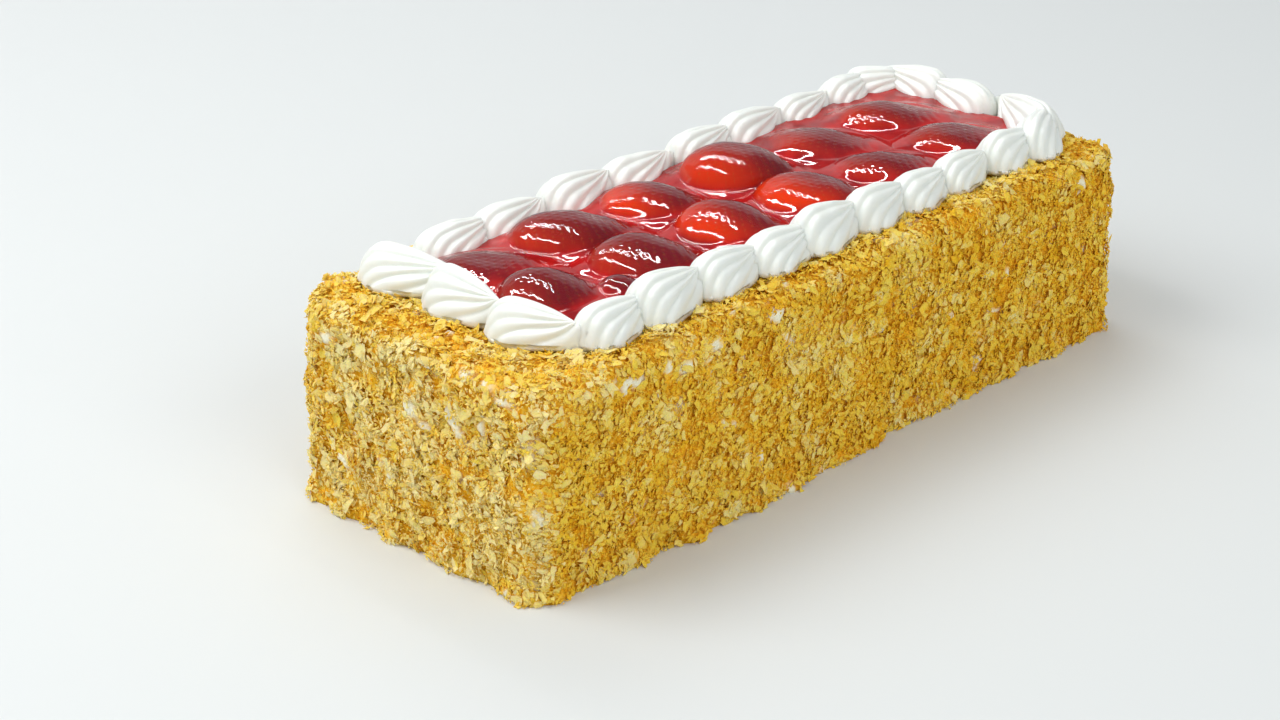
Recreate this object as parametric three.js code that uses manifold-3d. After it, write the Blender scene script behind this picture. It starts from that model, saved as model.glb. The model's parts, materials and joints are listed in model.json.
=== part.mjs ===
// Strawberry mille-feuille loaf, whole and uncut: a block coated in crushed puff-pastry flakes,
// with a border of piped cream shells round two rows of halved strawberries set in red glaze.
// Millimetres, +Z up. The origin is on the table under the middle of the loaf, and +X runs along it.
import * as THREE from "three";
import { ImprovedNoise } from "three/addons/math/ImprovedNoise.js";
import { mergeVertices } from "three/addons/utils/BufferGeometryUtils.js";
import Module from "manifold-3d";

// The loaf
const LOAF_LENGTH = 320;
const LOAF_WIDTH = 124;
const LOAF_HEIGHT = 77.5;
const CORNER_RADIUS = 13; // of the upright edges
const TOP_EDGE_RADIUS = 7;
const LOAF_COLUMNS = 82; // round the outline
const SIDE_ROWS = 8;
const EDGE_ROWS = 2;
const CRAG_DEPTH = 1.5; // of the coat's lumps, which are a few flakes thick
const CRAG_SIZE = 11;
const SWELL = 1.1; // of the sides, where the hand pressed the crumbs on unevenly
const SWELL_REACH = { x: 31, y: 23, z: 27 }; // how far apart the swells lie, over 2 pi
const FOOT_FLARE = 1.4; // where fallen crumbs gather at the foot
const FOOT_HEIGHT = 9;
const FLAT_TOP = 18; // the top is level this close to the line of piping
const TOP_RISE = 5; // and rough this much further out
const TOP_INSET = 11; // of the last ring on the top

// The largest flakes of the coat
const FLAKE_COUNT = 86;
const FLAKE_REACH = [3, 5.4]; // centre to corner, from the smallest to the largest
const FLAKE_NARROW = [0.6, 0.9]; // width as a share of length
const FLAKE_RAGGED = [0.75, 1.1]; // a corner's reach, as a share of the flake's
const FLAKE_THICKNESS = 1.1;
const FLAKE_CORNERS = 6;
const FLAKE_TILT = 0.6; // radians, at most
const FLAKE_CURL = [-0.03, 0.07]; // rise at a distance, as a share of its square
const FLAKE_SUNK = 0.25; // of its thickness, how far its middle stands over the coat
const FLAKE_FOOT = 7; // the lowest one's height
const FLAKE_TOP_REACH = 8; // how far past the top edge they go
const FLAKE_SEED = 7;
const GOLDEN_SHARE = 0.618034; // spreads them evenly up the sides

// The piped border: shells one behind the other round a rounded rectangle. They are numbered
// anticlockwise from the left-hand end of the near side.
const BORDER_CENTRE = new THREE.Vector2(6, 1.5);
const BORDER_LENGTH = 270;
const BORDER_WIDTH = 88;
const BORDER_RADIUS = 20;
const SHELL_COUNT = 25;
const FIRST_SHELL_X = -112; // on the near side, by the left-hand corner
const PIPING_DRIFT = 18; // how far the shells stray from an even spacing
const DRIFT_START = 0.14; // of the way round, where they are furthest ahead of it
const SHELL_BULB = 15.5; // centre to the front of the bulb
const SHELL_TAIL = 24; // centre to the end of the tail
const SHELL_MIDDLE = -5; // its widest and highest place, from its centre
const SHELL_WIDTH = 20.5;
const SHELL_HEIGHT = 15;
const SHELL_LIP = 2.2; // height at which the foot is widest
const LIP_TUCK = 0.94; // the foot's size at the table of the cake, as a share of the lip's
const TAIL_PINCH = 1.3; // power of the cosine that draws the sides in towards the tail
const TAIL_FALL = 1.6; // power by which the crest falls along the tail
const BULB_FALL = 2.6; // and by which it falls at the front of the bulb, where it is fuller
const FLANK_BOW = 1.7; // power of the flanks' slope to the foot, where 1 would make them straight
const FLANK_FALL = 0.85; // and its steepness right at the foot, where 1 would keep the slope
const TIP_AHEAD = 17; // from the shell's centre to the tip, where its ridges meet
const RIDGES = 9;
const RIDGE_DEPTH = 1.2;
const RIDGE_REACH = 0.25; // a valley takes at most this share of the way to the tip
const SHELL_RINGS = [0.8, 0.5]; // between the lip and the tip
const UNEVEN_PIPING = 0.03;
const UNEVEN_HEIGHT = { share: 0.07, turn: 2.1 }; // every third shell or so is low
const CROWDED_SIZE = 0.6; // power of the spacing that a shell's size follows
const FAR_ROW = [13, 21]; // these were piped from left to right too, so against their numbers
// The shells that stray from the even drift: each one's number, how far on it sits along the line of
// piping, how far outward, how far it is turned in radians, how much larger it is and how much taller
const STRAYED = [
  [0, 4.5, 0, 0, 0.94, 1],
  [4, -2.5, 0, 0, 1.08, 1],
  [5, 0, 0, 0, 1.05, 1],
  [8, 5, 0, 0, 1.06, 1],
  [9, 4, 0, 0, 1.22, 1],
  [10, -2, 0, 0, 1.26, 0.9],
  [11, 9.5, 0, 0, 1.12, 0.85],
  [12, 9, 0, 0, 1.1, 1],
  [13, 3, 0, 0, 1, 0.85],
  [14, -7, 0, 0, 1, 0.8],
  [15, -4, 0, 0, 1, 0.85],
  [16, 0, 0, 0, 1, 0.83],
  [17, 0, 0, 0, 1, 0.83],
  [18, 7, 0, 0, 1.04, 0.83],
  [19, 9, 0, 0, 1, 0.83],
  [20, 12, 0, 0, 1, 0.8],
  [21, 6.5, 0, 0, 1, 0.85],
  [22, 6.5, 1.5, 0.9, 1.04, 0.82],
  [23, 5.7, 0, 0, 1, 1],
  [24, 5.5, -1, 0.2, 0.92, 1],
];

// The strawberries: halves, cut side down on a bed of glaze, in two rows of six and a small odd one.
// Each row here is a berry's centre in x and y, the heading of its point in radians, its length, its
// width and how high its crown stands over the loaf.
const BERRIES = [
  [-105.5, 18.5, -0.5, 42, 30, 8.8],
  [-106.5, -12.5, -0.6, 35, 32, 13.6],
  [-65.5, 18, -0.45, 46, 32, 13.4],
  [-63, -16, -0.65, 40, 33, 13.8],
  [-24.5, 17.5, -0.8, 38, 32, 12.2],
  [-21, -17, -0.65, 38, 33, 13.8],
  [19, 15, -0.5, 44, 34, 17],
  [21, -18.5, -0.5, 41, 32, 13.4],
  [63.5, 11.5, -0.85, 42, 33, 9.4],
  [63, -20.5, -0.5, 38, 29, 9.6],
  [104, 11.5, -0.7, 43, 31, 10],
  [104, -21.5, -0.65, 39, 30, 9.8],
  [-85, -27, -0.9, 17, 14, 9],
];
const BERRY_BED = 1.3; // of glaze, under every strawberry
const BERRY_SHOULDER = 0.8; // below 1, the thickest place is nearer the blunt end
const BERRY_ROUNDNESS = 0.5; // below 1, the ends are blunter than a sine's
const BERRY_FULLNESS = 0.8; // below 1, its section is fuller than half an ellipse
const BERRY_TAPER = 0.12; // loss of girth from end to end
const BERRY_END_HEIGHT = 0.25; // of its whole height
const BERRY_END_STEP = 0.6; // from an end to the next ring, as a share of the rings' spacing
const BERRY_FACES = { rings: 6, arc: 7 };
const SEAT_FACES = { rings: 6, arc: 4 }; // of the dent that each leaves in the glaze

// The glaze
const GLAZE_LEVEL = 3.6; // above the loaf
const GLAZE_CLIMB = 2.2; // up the flank of each strawberry
const GLAZE_SPREAD = 4; // how far from the strawberry that climb dies away
const GLAZE_CELL = 12;
const GLAZE_UNDER_CREAM = 6; // how far it reaches past the cream's inner foot

// Clearances
const GAP = 0.3; // between touching pieces
const RIDGE_GAP = 1; // where a plain form clears a shell, as its flat faces cut the ridges' curve
const SEAT_GAP = 1.6; // where a plainer form clears a strawberry

const TURN = 2 * Math.PI;
const NEARLY_NOTHING = 1e-6; // a width to divide by where a piece comes to a point
const SAME_POINT = 1e-4; // corners this close are one
const UP = new THREE.Vector3(0, 0, 1);

const pastry = new THREE.MeshStandardMaterial({ color: 0xd9a548, roughness: 0.8 });
const cream = new THREE.MeshStandardMaterial({ color: 0xfaf7ef, roughness: 0.45 });
const strawberry = new THREE.MeshStandardMaterial({ color: 0xc8200f, roughness: 0.25 });
const glazeRed = new THREE.MeshStandardMaterial({ color: 0x9c1020, roughness: 0.08 });

const wasm = await Module();
wasm.setup();
const noise = new ImprovedNoise();

// An unevenness from -1 to 1 that never repeats from piece to piece.
function uneven(number) {
  return Math.sin(2.4 * number);
}

function solidOf(geometry) {
  const bare = geometry.clone();
  bare.deleteAttribute("normal");
  bare.deleteAttribute("uv");
  const merged = mergeVertices(bare, SAME_POINT);
  return new wasm.Manifold(
    new wasm.Mesh({
      numProp: 3,
      vertProperties: merged.attributes.position.array,
      triVerts: new Uint32Array(merged.index.array),
    }),
  );
}

// The largest body of a solid, without its loose scraps and sealed hollows, as geometry.
function geometryOf(solid) {
  const bodies = solid.decompose().sort((a, b) => b.volume() - a.volume());
  const mesh = bodies[0].getMesh();
  const geometry = new THREE.BufferGeometry();
  geometry.setAttribute("position", new THREE.BufferAttribute(mesh.vertProperties, 3));
  geometry.setIndex(new THREE.BufferAttribute(mesh.triVerts, 1));
  geometry.computeVertexNormals();
  return geometry;
}

// A closed skin through rings of points with a pole at each end. Seen from the end pole, the
// rings run anticlockwise.
function skinOver(startPole, rings, endPole) {
  const across = rings[0].length;
  const points = [startPole, ...rings.flat(), endPole];
  const last = points.length - 1;
  const at = (ring, column) => 1 + ring * across + (column % across);
  const index = [];
  for (let j = 0; j < across; j++) {
    index.push(0, at(0, j + 1), at(0, j));
    index.push(last, at(rings.length - 1, j), at(rings.length - 1, j + 1));
    for (let i = 0; i + 1 < rings.length; i++) {
      index.push(at(i, j), at(i, j + 1), at(i + 1, j + 1));
      index.push(at(i, j), at(i + 1, j + 1), at(i + 1, j));
    }
  }
  const geometry = new THREE.BufferGeometry().setFromPoints(points);
  geometry.setIndex(index);
  return geometry;
}

// A rounded rectangle, anticlockwise from the right-hand end of its near side.
function roundedRectangle(length, width, radius) {
  const x = length / 2 - radius;
  const y = width / 2 - radius;
  const path = new THREE.Path();
  path.absarc(x, -y, radius, -0.25 * TURN, 0);
  path.absarc(x, y, radius, 0, 0.25 * TURN);
  path.absarc(-x, y, radius, 0.25 * TURN, 0.5 * TURN);
  path.absarc(-x, -y, radius, 0.5 * TURN, 0.75 * TURN);
  return path.closePath();
}

// The point and the heading at a distance along a closed path.
function alongPath(path, distance) {
  const step = 0.5;
  const total = path.getLength();
  const share = (d) => THREE.MathUtils.euclideanModulo(d, total) / total;
  const here = path.getPoint(share(distance));
  const ahead = path.getPoint(share(distance + step));
  const behind = path.getPoint(share(distance - step));
  return { x: here.x, y: here.y, heading: Math.atan2(ahead.y - behind.y, ahead.x - behind.x) };
}

const loafOutline = roundedRectangle(LOAF_LENGTH, LOAF_WIDTH, CORNER_RADIUS);
const pipingLine = roundedRectangle(BORDER_LENGTH, BORDER_WIDTH, BORDER_RADIUS);

// Distance in plan from a point to the line of piping.
function fromPiping(x, y) {
  const innerX = BORDER_LENGTH / 2 - BORDER_RADIUS;
  const innerY = BORDER_WIDTH / 2 - BORDER_RADIUS;
  const outX = Math.abs(x - BORDER_CENTRE.x) - innerX;
  const outY = Math.abs(y - BORDER_CENTRE.y) - innerY;
  const corner = Math.hypot(Math.max(outX, 0), Math.max(outY, 0));
  return corner + Math.min(Math.max(outX, outY), 0) - BORDER_RADIUS;
}

// A place on the smooth loaf: how far along its outline, and how far up its side, over the
// rounded edge and in across the top.
function loafPlace(along, climb) {
  const foot = alongPath(loafOutline, along);
  const outward = new THREE.Vector3(Math.sin(foot.heading), -Math.cos(foot.heading), 0);
  const wall = LOAF_HEIGHT - TOP_EDGE_RADIUS;
  const bend = THREE.MathUtils.clamp((climb - wall) / TOP_EDGE_RADIUS, 0, 0.25 * TURN);
  const inward = Math.max(climb - wall - 0.25 * TURN * TOP_EDGE_RADIUS, 0);
  const normal = outward.clone().multiplyScalar(Math.cos(bend)).addScaledVector(UP, Math.sin(bend));
  const place = new THREE.Vector3(foot.x, foot.y, Math.min(climb, wall));
  place.addScaledVector(outward, TOP_EDGE_RADIUS * (Math.cos(bend) - 1));
  place.addScaledVector(UP, TOP_EDGE_RADIUS * Math.sin(bend));
  place.x *= 1 - inward / (LOAF_LENGTH / 2 - TOP_EDGE_RADIUS);
  place.y *= 1 - inward / (LOAF_WIDTH / 2 - TOP_EDGE_RADIUS);
  return { place, normal };
}

// The coat's lumps and the uneven swell of the sides. The top stays level under the toppings.
function coatRelief(place) {
  const lumps = noise.noise(place.x / CRAG_SIZE, place.y / CRAG_SIZE, place.z / CRAG_SIZE);
  const alongSwell = Math.sin(place.x / SWELL_REACH.x);
  const swell = alongSwell * Math.cos(place.y / SWELL_REACH.y + place.z / SWELL_REACH.z);
  const clear = THREE.MathUtils.smoothstep(fromPiping(place.x, place.y) - FLAT_TOP, 0, TOP_RISE);
  const side = THREE.MathUtils.smoothstep(LOAF_HEIGHT - place.z, 1, TOP_EDGE_RADIUS);
  const foot = FOOT_FLARE * (1 - THREE.MathUtils.smoothstep(place.z, 0, FOOT_HEIGHT));
  return Math.max(clear, side) * (2 * CRAG_DEPTH * lumps + SWELL * swell + foot);
}

// Rings of the coated block from its flat base to the level middle of its top.
function loafSkin() {
  const wall = LOAF_HEIGHT - TOP_EDGE_RADIUS;
  const arc = 0.25 * TURN * TOP_EDGE_RADIUS;
  const climbs = [];
  for (let i = 0; i <= SIDE_ROWS; i++) climbs.push((wall * i) / SIDE_ROWS);
  for (let i = 1; i <= EDGE_ROWS; i++) climbs.push(wall + (arc * i) / EDGE_ROWS);
  climbs.push(wall + arc + TOP_INSET);
  const step = loafOutline.getLength() / LOAF_COLUMNS;
  const rings = climbs.map((climb) =>
    Array.from({ length: LOAF_COLUMNS }, (_, column) => {
      const { place, normal } = loafPlace(column * step, climb);
      const moved = place.clone().addScaledVector(normal, coatRelief(place));
      if (climb === 0) moved.z = 0;
      return moved;
    }),
  );
  return skinOver(new THREE.Vector3(0, 0, 0), rings, new THREE.Vector3(0, 0, LOAF_HEIGHT));
}

// A curled shard of pastry with ragged corners, flat in its own XY plane.
function pastryFlake(random) {
  const between = ([low, high]) => low + (high - low) * random();
  const reach = between(FLAKE_REACH);
  const narrow = between(FLAKE_NARROW);
  const outline = Array.from({ length: FLAKE_CORNERS }, (_, corner) => {
    const angle = (TURN * (corner + random() / 2)) / FLAKE_CORNERS;
    const ragged = reach * between(FLAKE_RAGGED);
    return new THREE.Vector2(ragged * Math.cos(angle), ragged * narrow * Math.sin(angle));
  });
  const flake = new THREE.ExtrudeGeometry(new THREE.Shape(outline), {
    depth: FLAKE_THICKNESS,
    bevelEnabled: false,
  });
  const curl = between(FLAKE_CURL);
  const position = flake.attributes.position;
  for (let i = 0; i < position.count; i++) {
    position.setZ(i, position.getZ(i) + curl * position.getX(i) ** 2 - FLAKE_THICKNESS / 2);
  }
  return flake;
}

// The largest flakes, spread evenly over the sides and the open ends of the top, half sunk.
function largeFlakes() {
  THREE.MathUtils.seededRandom(FLAKE_SEED);
  const random = () => THREE.MathUtils.seededRandom();
  const around = loafOutline.getLength();
  const spread = LOAF_HEIGHT + FLAKE_TOP_REACH - FLAKE_FOOT;
  const flakes = [];
  for (let i = 0; i < FLAKE_COUNT; i++) {
    const along = around * ((i + 0.5) / FLAKE_COUNT);
    const climb = FLAKE_FOOT + spread * ((i * GOLDEN_SHARE) % 1);
    const { place, normal } = loafPlace(along, climb);
    const flake = pastryFlake(random);
    const tilt = new THREE.Euler(
      FLAKE_TILT * (2 * random() - 1),
      FLAKE_TILT * (2 * random() - 1),
      TURN * random(),
    );
    const lie = new THREE.Quaternion().setFromUnitVectors(UP, normal);
    lie.multiply(new THREE.Quaternion().setFromEuler(tilt));
    place.addScaledVector(normal, coatRelief(place) + FLAKE_SUNK * FLAKE_THICKNESS);
    const onTop = place.z > LOAF_HEIGHT - TOP_EDGE_RADIUS / 2;
    if (onTop && fromPiping(place.x, place.y) < FLAT_TOP + 2) continue;
    flake.applyMatrix4(new THREE.Matrix4().compose(place, lie, new THREE.Vector3(1, 1, 1)));
    flakes.push(solidOf(flake));
  }
  return flakes;
}

function loafMesh() {
  const coated = wasm.Manifold.union([solidOf(loafSkin()), ...largeFlakes()]);
  return named("mille_feuille_loaf", geometryOf(coated), pastry);
}

// One shell of piped cream, from its bulb at -X to its tail at +X. Its ridges fan out from the
// tip, over the bulb and down to a scalloped foot. The plain form has no valleys, so that the
// ridged one lies inside it.
function creamShell({ size, tallness }, grow, ridged) {
  const middle = size * SHELL_MIDDLE;
  const bulb = size * (SHELL_MIDDLE + SHELL_BULB) + grow;
  const tail = size * (SHELL_TAIL - SHELL_MIDDLE) + grow;
  const half = (size * SHELL_WIDTH) / 2 + grow;
  const rise = size * tallness * SHELL_HEIGHT + grow - SHELL_LIP;
  const tip = new THREE.Vector2(size * TIP_AHEAD, 0);
  const gone = (x) => Math.min(Math.abs(x - middle) / (x > middle ? tail : bulb), 1);
  const width = (x) =>
    half * (x > middle ? Math.cos(0.25 * TURN * gone(x)) ** TAIL_PINCH : Math.sqrt(1 - gone(x) ** 2));
  const height = (x, y) => {
    const crest = Math.sqrt(1 - gone(x) ** (x > middle ? TAIL_FALL : BULB_FALL));
    const side = Math.min(Math.abs(y) / Math.max(width(x), NEARLY_NOTHING), 1);
    return SHELL_LIP + rise * crest * (1 - side ** FLANK_BOW) ** FLANK_FALL;
  };
  const columns = ridged ? 2 * RIDGES : RIDGES;
  const ring = (reach, z) =>
    Array.from({ length: columns }, (_, column) => {
      const angle = (TURN * column) / columns;
      const footX = middle + Math.cos(angle) * (Math.cos(angle) > 0 ? tail : bulb);
      const foot = new THREE.Vector2(footX, Math.sign(Math.sin(angle)) * width(footX));
      const valley = ridged && column % 2 ? RIDGE_DEPTH * reach : 0;
      const share = reach - Math.min(valley / foot.distanceTo(tip), RIDGE_REACH * reach);
      const { x, y } = foot.lerp(tip, 1 - share);
      return new THREE.Vector3(x, y, z ?? height(x, y) - valley / 2);
    });
  const upper = SHELL_RINGS.map((reach) => ring(reach));
  const rings = [ring(LIP_TUCK, -grow), ring(1, SHELL_LIP), ...upper];
  const top = new THREE.Vector3(tip.x, tip.y, height(tip.x, tip.y));
  return skinOver(new THREE.Vector3(0, 0, -grow), rings, top);
}

function inFarRow(number) {
  return number >= FAR_ROW[0] && number <= FAR_ROW[1];
}

// Where each shell sits round the border. Where they come closer together, they are smaller.
function shellPlaces() {
  const total = pipingLine.getLength();
  const straight = BORDER_LENGTH / 2 - BORDER_RADIUS;
  const start = total - (BORDER_CENTRE.x + straight - FIRST_SHELL_X);
  return Array.from({ length: SHELL_COUNT }, (_, i) => {
    const share = i / SHELL_COUNT;
    const phase = TURN * (share - DRIFT_START);
    const drift = PIPING_DRIFT * (Math.cos(phase) - Math.cos(TURN * DRIFT_START));
    const crowding = 1 - ((TURN * PIPING_DRIFT) / total) * Math.sin(phase);
    const strayed = STRAYED.find(([number]) => number === i) ?? [i, 0, 0, 0, 1, 1];
    const [, on, out, turned, larger, taller] = strayed;
    const { x, y, heading } = alongPath(pipingLine, start + total * share + drift + on);
    const position = new THREE.Vector3(x + BORDER_CENTRE.x, y + BORDER_CENTRE.y, LOAF_HEIGHT + GAP);
    position.x += out * Math.sin(heading);
    position.y -= out * Math.cos(heading);
    return {
      position,
      heading: heading + turned + (inFarRow(i) ? TURN / 2 : 0),
      size: larger * crowding ** CROWDED_SIZE * (1 + UNEVEN_PIPING * uneven(i)),
      tallness: taller * (1 - UNEVEN_HEIGHT.share * Math.cos(UNEVEN_HEIGHT.turn * i)),
    };
  });
}

// Half a strawberry, cut side down, its blunt end at -X and its point at +X.
function halfStrawberry({ length, width, height }, grow, faces) {
  const long = length + 2 * grow;
  const fuller = (value) => Math.sign(value) * Math.abs(value) ** BERRY_FULLNESS;
  const rings = Array.from({ length: faces.rings }, (_, i) => {
    const share = (i + BERRY_END_STEP) / (faces.rings - 1 + 2 * BERRY_END_STEP);
    const taper = 1 - BERRY_TAPER * share;
    const girth = taper * Math.sin(Math.PI * share ** BERRY_SHOULDER) ** BERRY_ROUNDNESS;
    return Array.from({ length: faces.arc + 1 }, (_, j) => {
      const angle = (Math.PI * j) / faces.arc;
      const onBase = j === 0 || j === faces.arc;
      const y = fuller(Math.cos(angle)) * ((width / 2) * girth + grow);
      const z = onBase ? -Math.min(grow, GAP) : fuller(Math.sin(angle)) * (height * girth + grow);
      return new THREE.Vector3(long * (share - 0.5), y, z);
    });
  });
  const end = (x) => new THREE.Vector3(x, 0, BERRY_END_HEIGHT * height);
  return skinOver(end(-long / 2), rings, end(long / 2));
}

// Where each half strawberry lies, and its sizes.
function berryPlaces() {
  return BERRIES.map(([x, y, heading, length, width, crown]) => {
    const position = new THREE.Vector3(x, y, LOAF_HEIGHT + GAP + BERRY_BED);
    return { position, heading, length, width, height: crown - BERRY_BED };
  });
}

function placement({ position, heading }) {
  const turn = new THREE.Quaternion().setFromAxisAngle(UP, heading);
  return new THREE.Matrix4().compose(position, turn, new THREE.Vector3(1, 1, 1));
}

// What is left of a piece once its neighbours have pressed into it. Both the piece and its
// neighbours are in frames of their own.
function pressed(geometry, place, neighbours) {
  const toPlace = placement(place).invert();
  const dents = neighbours.map((neighbour) => {
    const matrix = toPlace.clone().multiply(placement(neighbour.place));
    return solidOf(neighbour.outer.clone().applyMatrix4(matrix));
  });
  return geometryOf(solidOf(geometry).subtract(wasm.Manifold.union(dents)));
}

function named(name, geometry, material) {
  const mesh = new THREE.Mesh(geometry, material);
  mesh.name = name;
  return mesh;
}

function numberedMesh(name, i, geometry, material, { position, heading }) {
  const mesh = named(`${name}_${String(i + 1).padStart(2, "0")}`, geometry, material);
  mesh.position.copy(position);
  mesh.rotation.z = heading;
  return mesh;
}

const shells = shellPlaces().map((place) => ({
  place,
  inner: creamShell(place, 0, true),
  outer: creamShell(place, RIDGE_GAP, false),
}));
const berries = berryPlaces().map((place) => ({
  place,
  inner: halfStrawberry(place, 0, BERRY_FACES),
  outer: halfStrawberry(place, SEAT_GAP, SEAT_FACES),
}));

// The shells that press into one: the next to be piped, whose bulb covers its tail, and at the far
// left corner the fat shell too, where the two runs of piping began. The last shell of the right-hand
// end covers the end of the far row, and nothing covers it.
function coveringShells(i) {
  if (i === FAR_ROW[0] - 1) return [];
  if (i === FAR_ROW[1]) return [shells[i - 1], shells[i + 1]];
  return [shells[inFarRow(i) ? i - 1 : (i + 1) % SHELL_COUNT]];
}

function creamBorder() {
  const border = new THREE.Group();
  shells.forEach(({ place, inner }, i) => {
    const covering = coveringShells(i);
    const form = covering.length ? pressed(inner, place, covering) : inner;
    border.add(numberedMesh("cream_shell", i, form, cream, place));
  });
  return border;
}

// The strawberries by the border are pressed in by its cream.
function strawberries() {
  const group = new THREE.Group();
  berries.forEach(({ place, inner }, i) => {
    group.add(numberedMesh("strawberry", i, pressed(inner, place, shells), strawberry, place));
  });
  return group;
}

// The glaze's level: a pool that climbs the flank of every strawberry.
function glazeHeight(x, y) {
  let climb = 0;
  for (const { position, heading, length, width } of berries.map((berry) => berry.place)) {
    const dx = x - position.x;
    const dy = y - position.y;
    const forward = dx * Math.cos(heading) + dy * Math.sin(heading);
    const aside = -dx * Math.sin(heading) + dy * Math.cos(heading);
    const outside = (Math.hypot((2 * forward) / length, (2 * aside) / width) - 1) * (width / 2);
    climb = Math.max(climb, Math.exp(-((Math.max(outside, 0) / GLAZE_SPREAD) ** 2)));
  }
  return GLAZE_LEVEL + GLAZE_CLIMB * climb;
}

// A slab with a moulded top, pressed in by the cream all round and by every strawberry.
function glazeMesh() {
  const length = BORDER_LENGTH - SHELL_WIDTH + 2 * GLAZE_UNDER_CREAM;
  const width = BORDER_WIDTH - SHELL_WIDTH + 2 * GLAZE_UNDER_CREAM;
  const acrossX = Math.round(length / GLAZE_CELL);
  const acrossY = Math.round(width / GLAZE_CELL);
  const slab = new THREE.BoxGeometry(length, width, 1, acrossX, acrossY, 1);
  const position = slab.attributes.position;
  for (let i = 0; i < position.count; i++) {
    const x = position.getX(i) + BORDER_CENTRE.x;
    const y = position.getY(i) + BORDER_CENTRE.y;
    position.setXYZ(i, x, y, position.getZ(i) > 0 ? glazeHeight(x, y) : 0);
  }
  const place = { position: new THREE.Vector3(0, 0, LOAF_HEIGHT + GAP), heading: 0 };
  const glaze = named("strawberry_glaze", pressed(slab, place, [...shells, ...berries]), glazeRed);
  glaze.position.copy(place.position);
  return glaze;
}

const cake = new THREE.Group();
cake.add(loafMesh(), creamBorder(), strawberries(), glazeMesh());

export default cake;
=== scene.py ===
"""Looks of a strawberry mille-feuille loaf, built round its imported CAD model.

A loaf coated in crushed puff-pastry flakes carries a border of piped cream shells round two rows of
halved strawberries under a red glaze. The forms repeat the CAD model's own sizes. Everything below is
worked out in millimetres and becomes metres only when it goes into a mesh.
"""

import json
import math
from collections import namedtuple

import bpy
import numpy as np
from bpy.props import FloatProperty, FloatVectorProperty, IntProperty, PointerProperty
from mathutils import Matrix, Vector

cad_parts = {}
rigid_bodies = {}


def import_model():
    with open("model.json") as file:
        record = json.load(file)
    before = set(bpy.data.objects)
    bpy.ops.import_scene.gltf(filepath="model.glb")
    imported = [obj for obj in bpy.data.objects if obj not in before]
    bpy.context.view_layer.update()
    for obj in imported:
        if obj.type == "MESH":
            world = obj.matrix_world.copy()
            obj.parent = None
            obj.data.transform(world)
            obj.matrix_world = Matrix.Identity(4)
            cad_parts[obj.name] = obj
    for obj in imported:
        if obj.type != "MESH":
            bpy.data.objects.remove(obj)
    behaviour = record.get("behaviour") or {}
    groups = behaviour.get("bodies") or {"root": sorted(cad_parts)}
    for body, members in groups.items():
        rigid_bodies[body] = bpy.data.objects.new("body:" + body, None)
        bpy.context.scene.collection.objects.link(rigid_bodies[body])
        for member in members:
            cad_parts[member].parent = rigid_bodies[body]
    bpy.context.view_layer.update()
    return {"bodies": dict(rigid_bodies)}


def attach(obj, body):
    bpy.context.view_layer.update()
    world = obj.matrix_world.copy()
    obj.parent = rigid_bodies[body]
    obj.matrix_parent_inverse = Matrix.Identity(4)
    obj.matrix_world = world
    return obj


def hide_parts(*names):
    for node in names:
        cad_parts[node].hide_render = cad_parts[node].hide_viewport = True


bl_info = {
    "name": "Strawberry Mille-feuille Loaf",
    "version": (1, 0, 0),
    "blender": (4, 5, 0),
    "location": "3D View > Sidebar > Mille-feuille",
    "description": "Pastry flakes, piped cream, strawberries and glaze on a packed cake",
    "category": "Object",
}

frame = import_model()

MM = 0.001
TURN = 2 * math.pi
# Divides instead of a width or a length that comes to nothing
TINY = 1e-9
# The cake is one body, and every piece rides on it
(BODY,) = frame["bodies"]

# The loaf, as in the CAD model, but with crags that are deeper and come closer to the piping
LOAF_NODE = "mille_feuille_loaf"
LOAF_LENGTH = 320
LOAF_WIDTH = 124
LOAF_HEIGHT = 77.5
CORNER_RADIUS = 13
TOP_EDGE_RADIUS = 7
WALL = LOAF_HEIGHT - TOP_EDGE_RADIUS
EDGE_ARC = TURN / 4 * TOP_EDGE_RADIUS
CRAG_DEPTH = 2.4
CRAG_SIZE = 11
FINE_CRAG_SIZE = 4.4
CRAG_STRETCH = (1, 1, 0.6)
CRAGS_BELOW_TOP = 1
SWELL = 1.1
SWELL_REACH = (31, 23, 27)
FOOT_FLARE = 1.4
FOOT_HEIGHT = 9
FLAT_TOP = 12
TOP_RISE = 5

# The border of piped cream, as in the CAD model
BORDER_CENTRE = (6, 1.5)
BORDER_LENGTH = 270
BORDER_WIDTH = 88
BORDER_RADIUS = 20
SHELL_COUNT = 25
FIRST_SHELL_X = -112
PIPING_DRIFT = 18
DRIFT_START = 0.14
SHELL_BULB = 15.5
SHELL_TAIL = 24
SHELL_MIDDLE = -5
SHELL_WIDTH = 20.5
SHELL_HEIGHT = 15
SHELL_LIP = 2.2
LIP_TUCK = 0.94
TAIL_PINCH = 1.3
TAIL_FALL = 1.6
BULB_FALL = 2.6
FLANK_BOW = 1.7
FLANK_FALL = 0.85
TIP_AHEAD = 17
UNEVEN_TURN = 2.4
UNEVEN_PIPING = 0.03
UNEVEN_HEIGHT = 0.07
UNEVEN_HEIGHT_TURN = 2.1
CROWDED_SIZE = 0.6
FAR_ROW = (13, 21)
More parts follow.
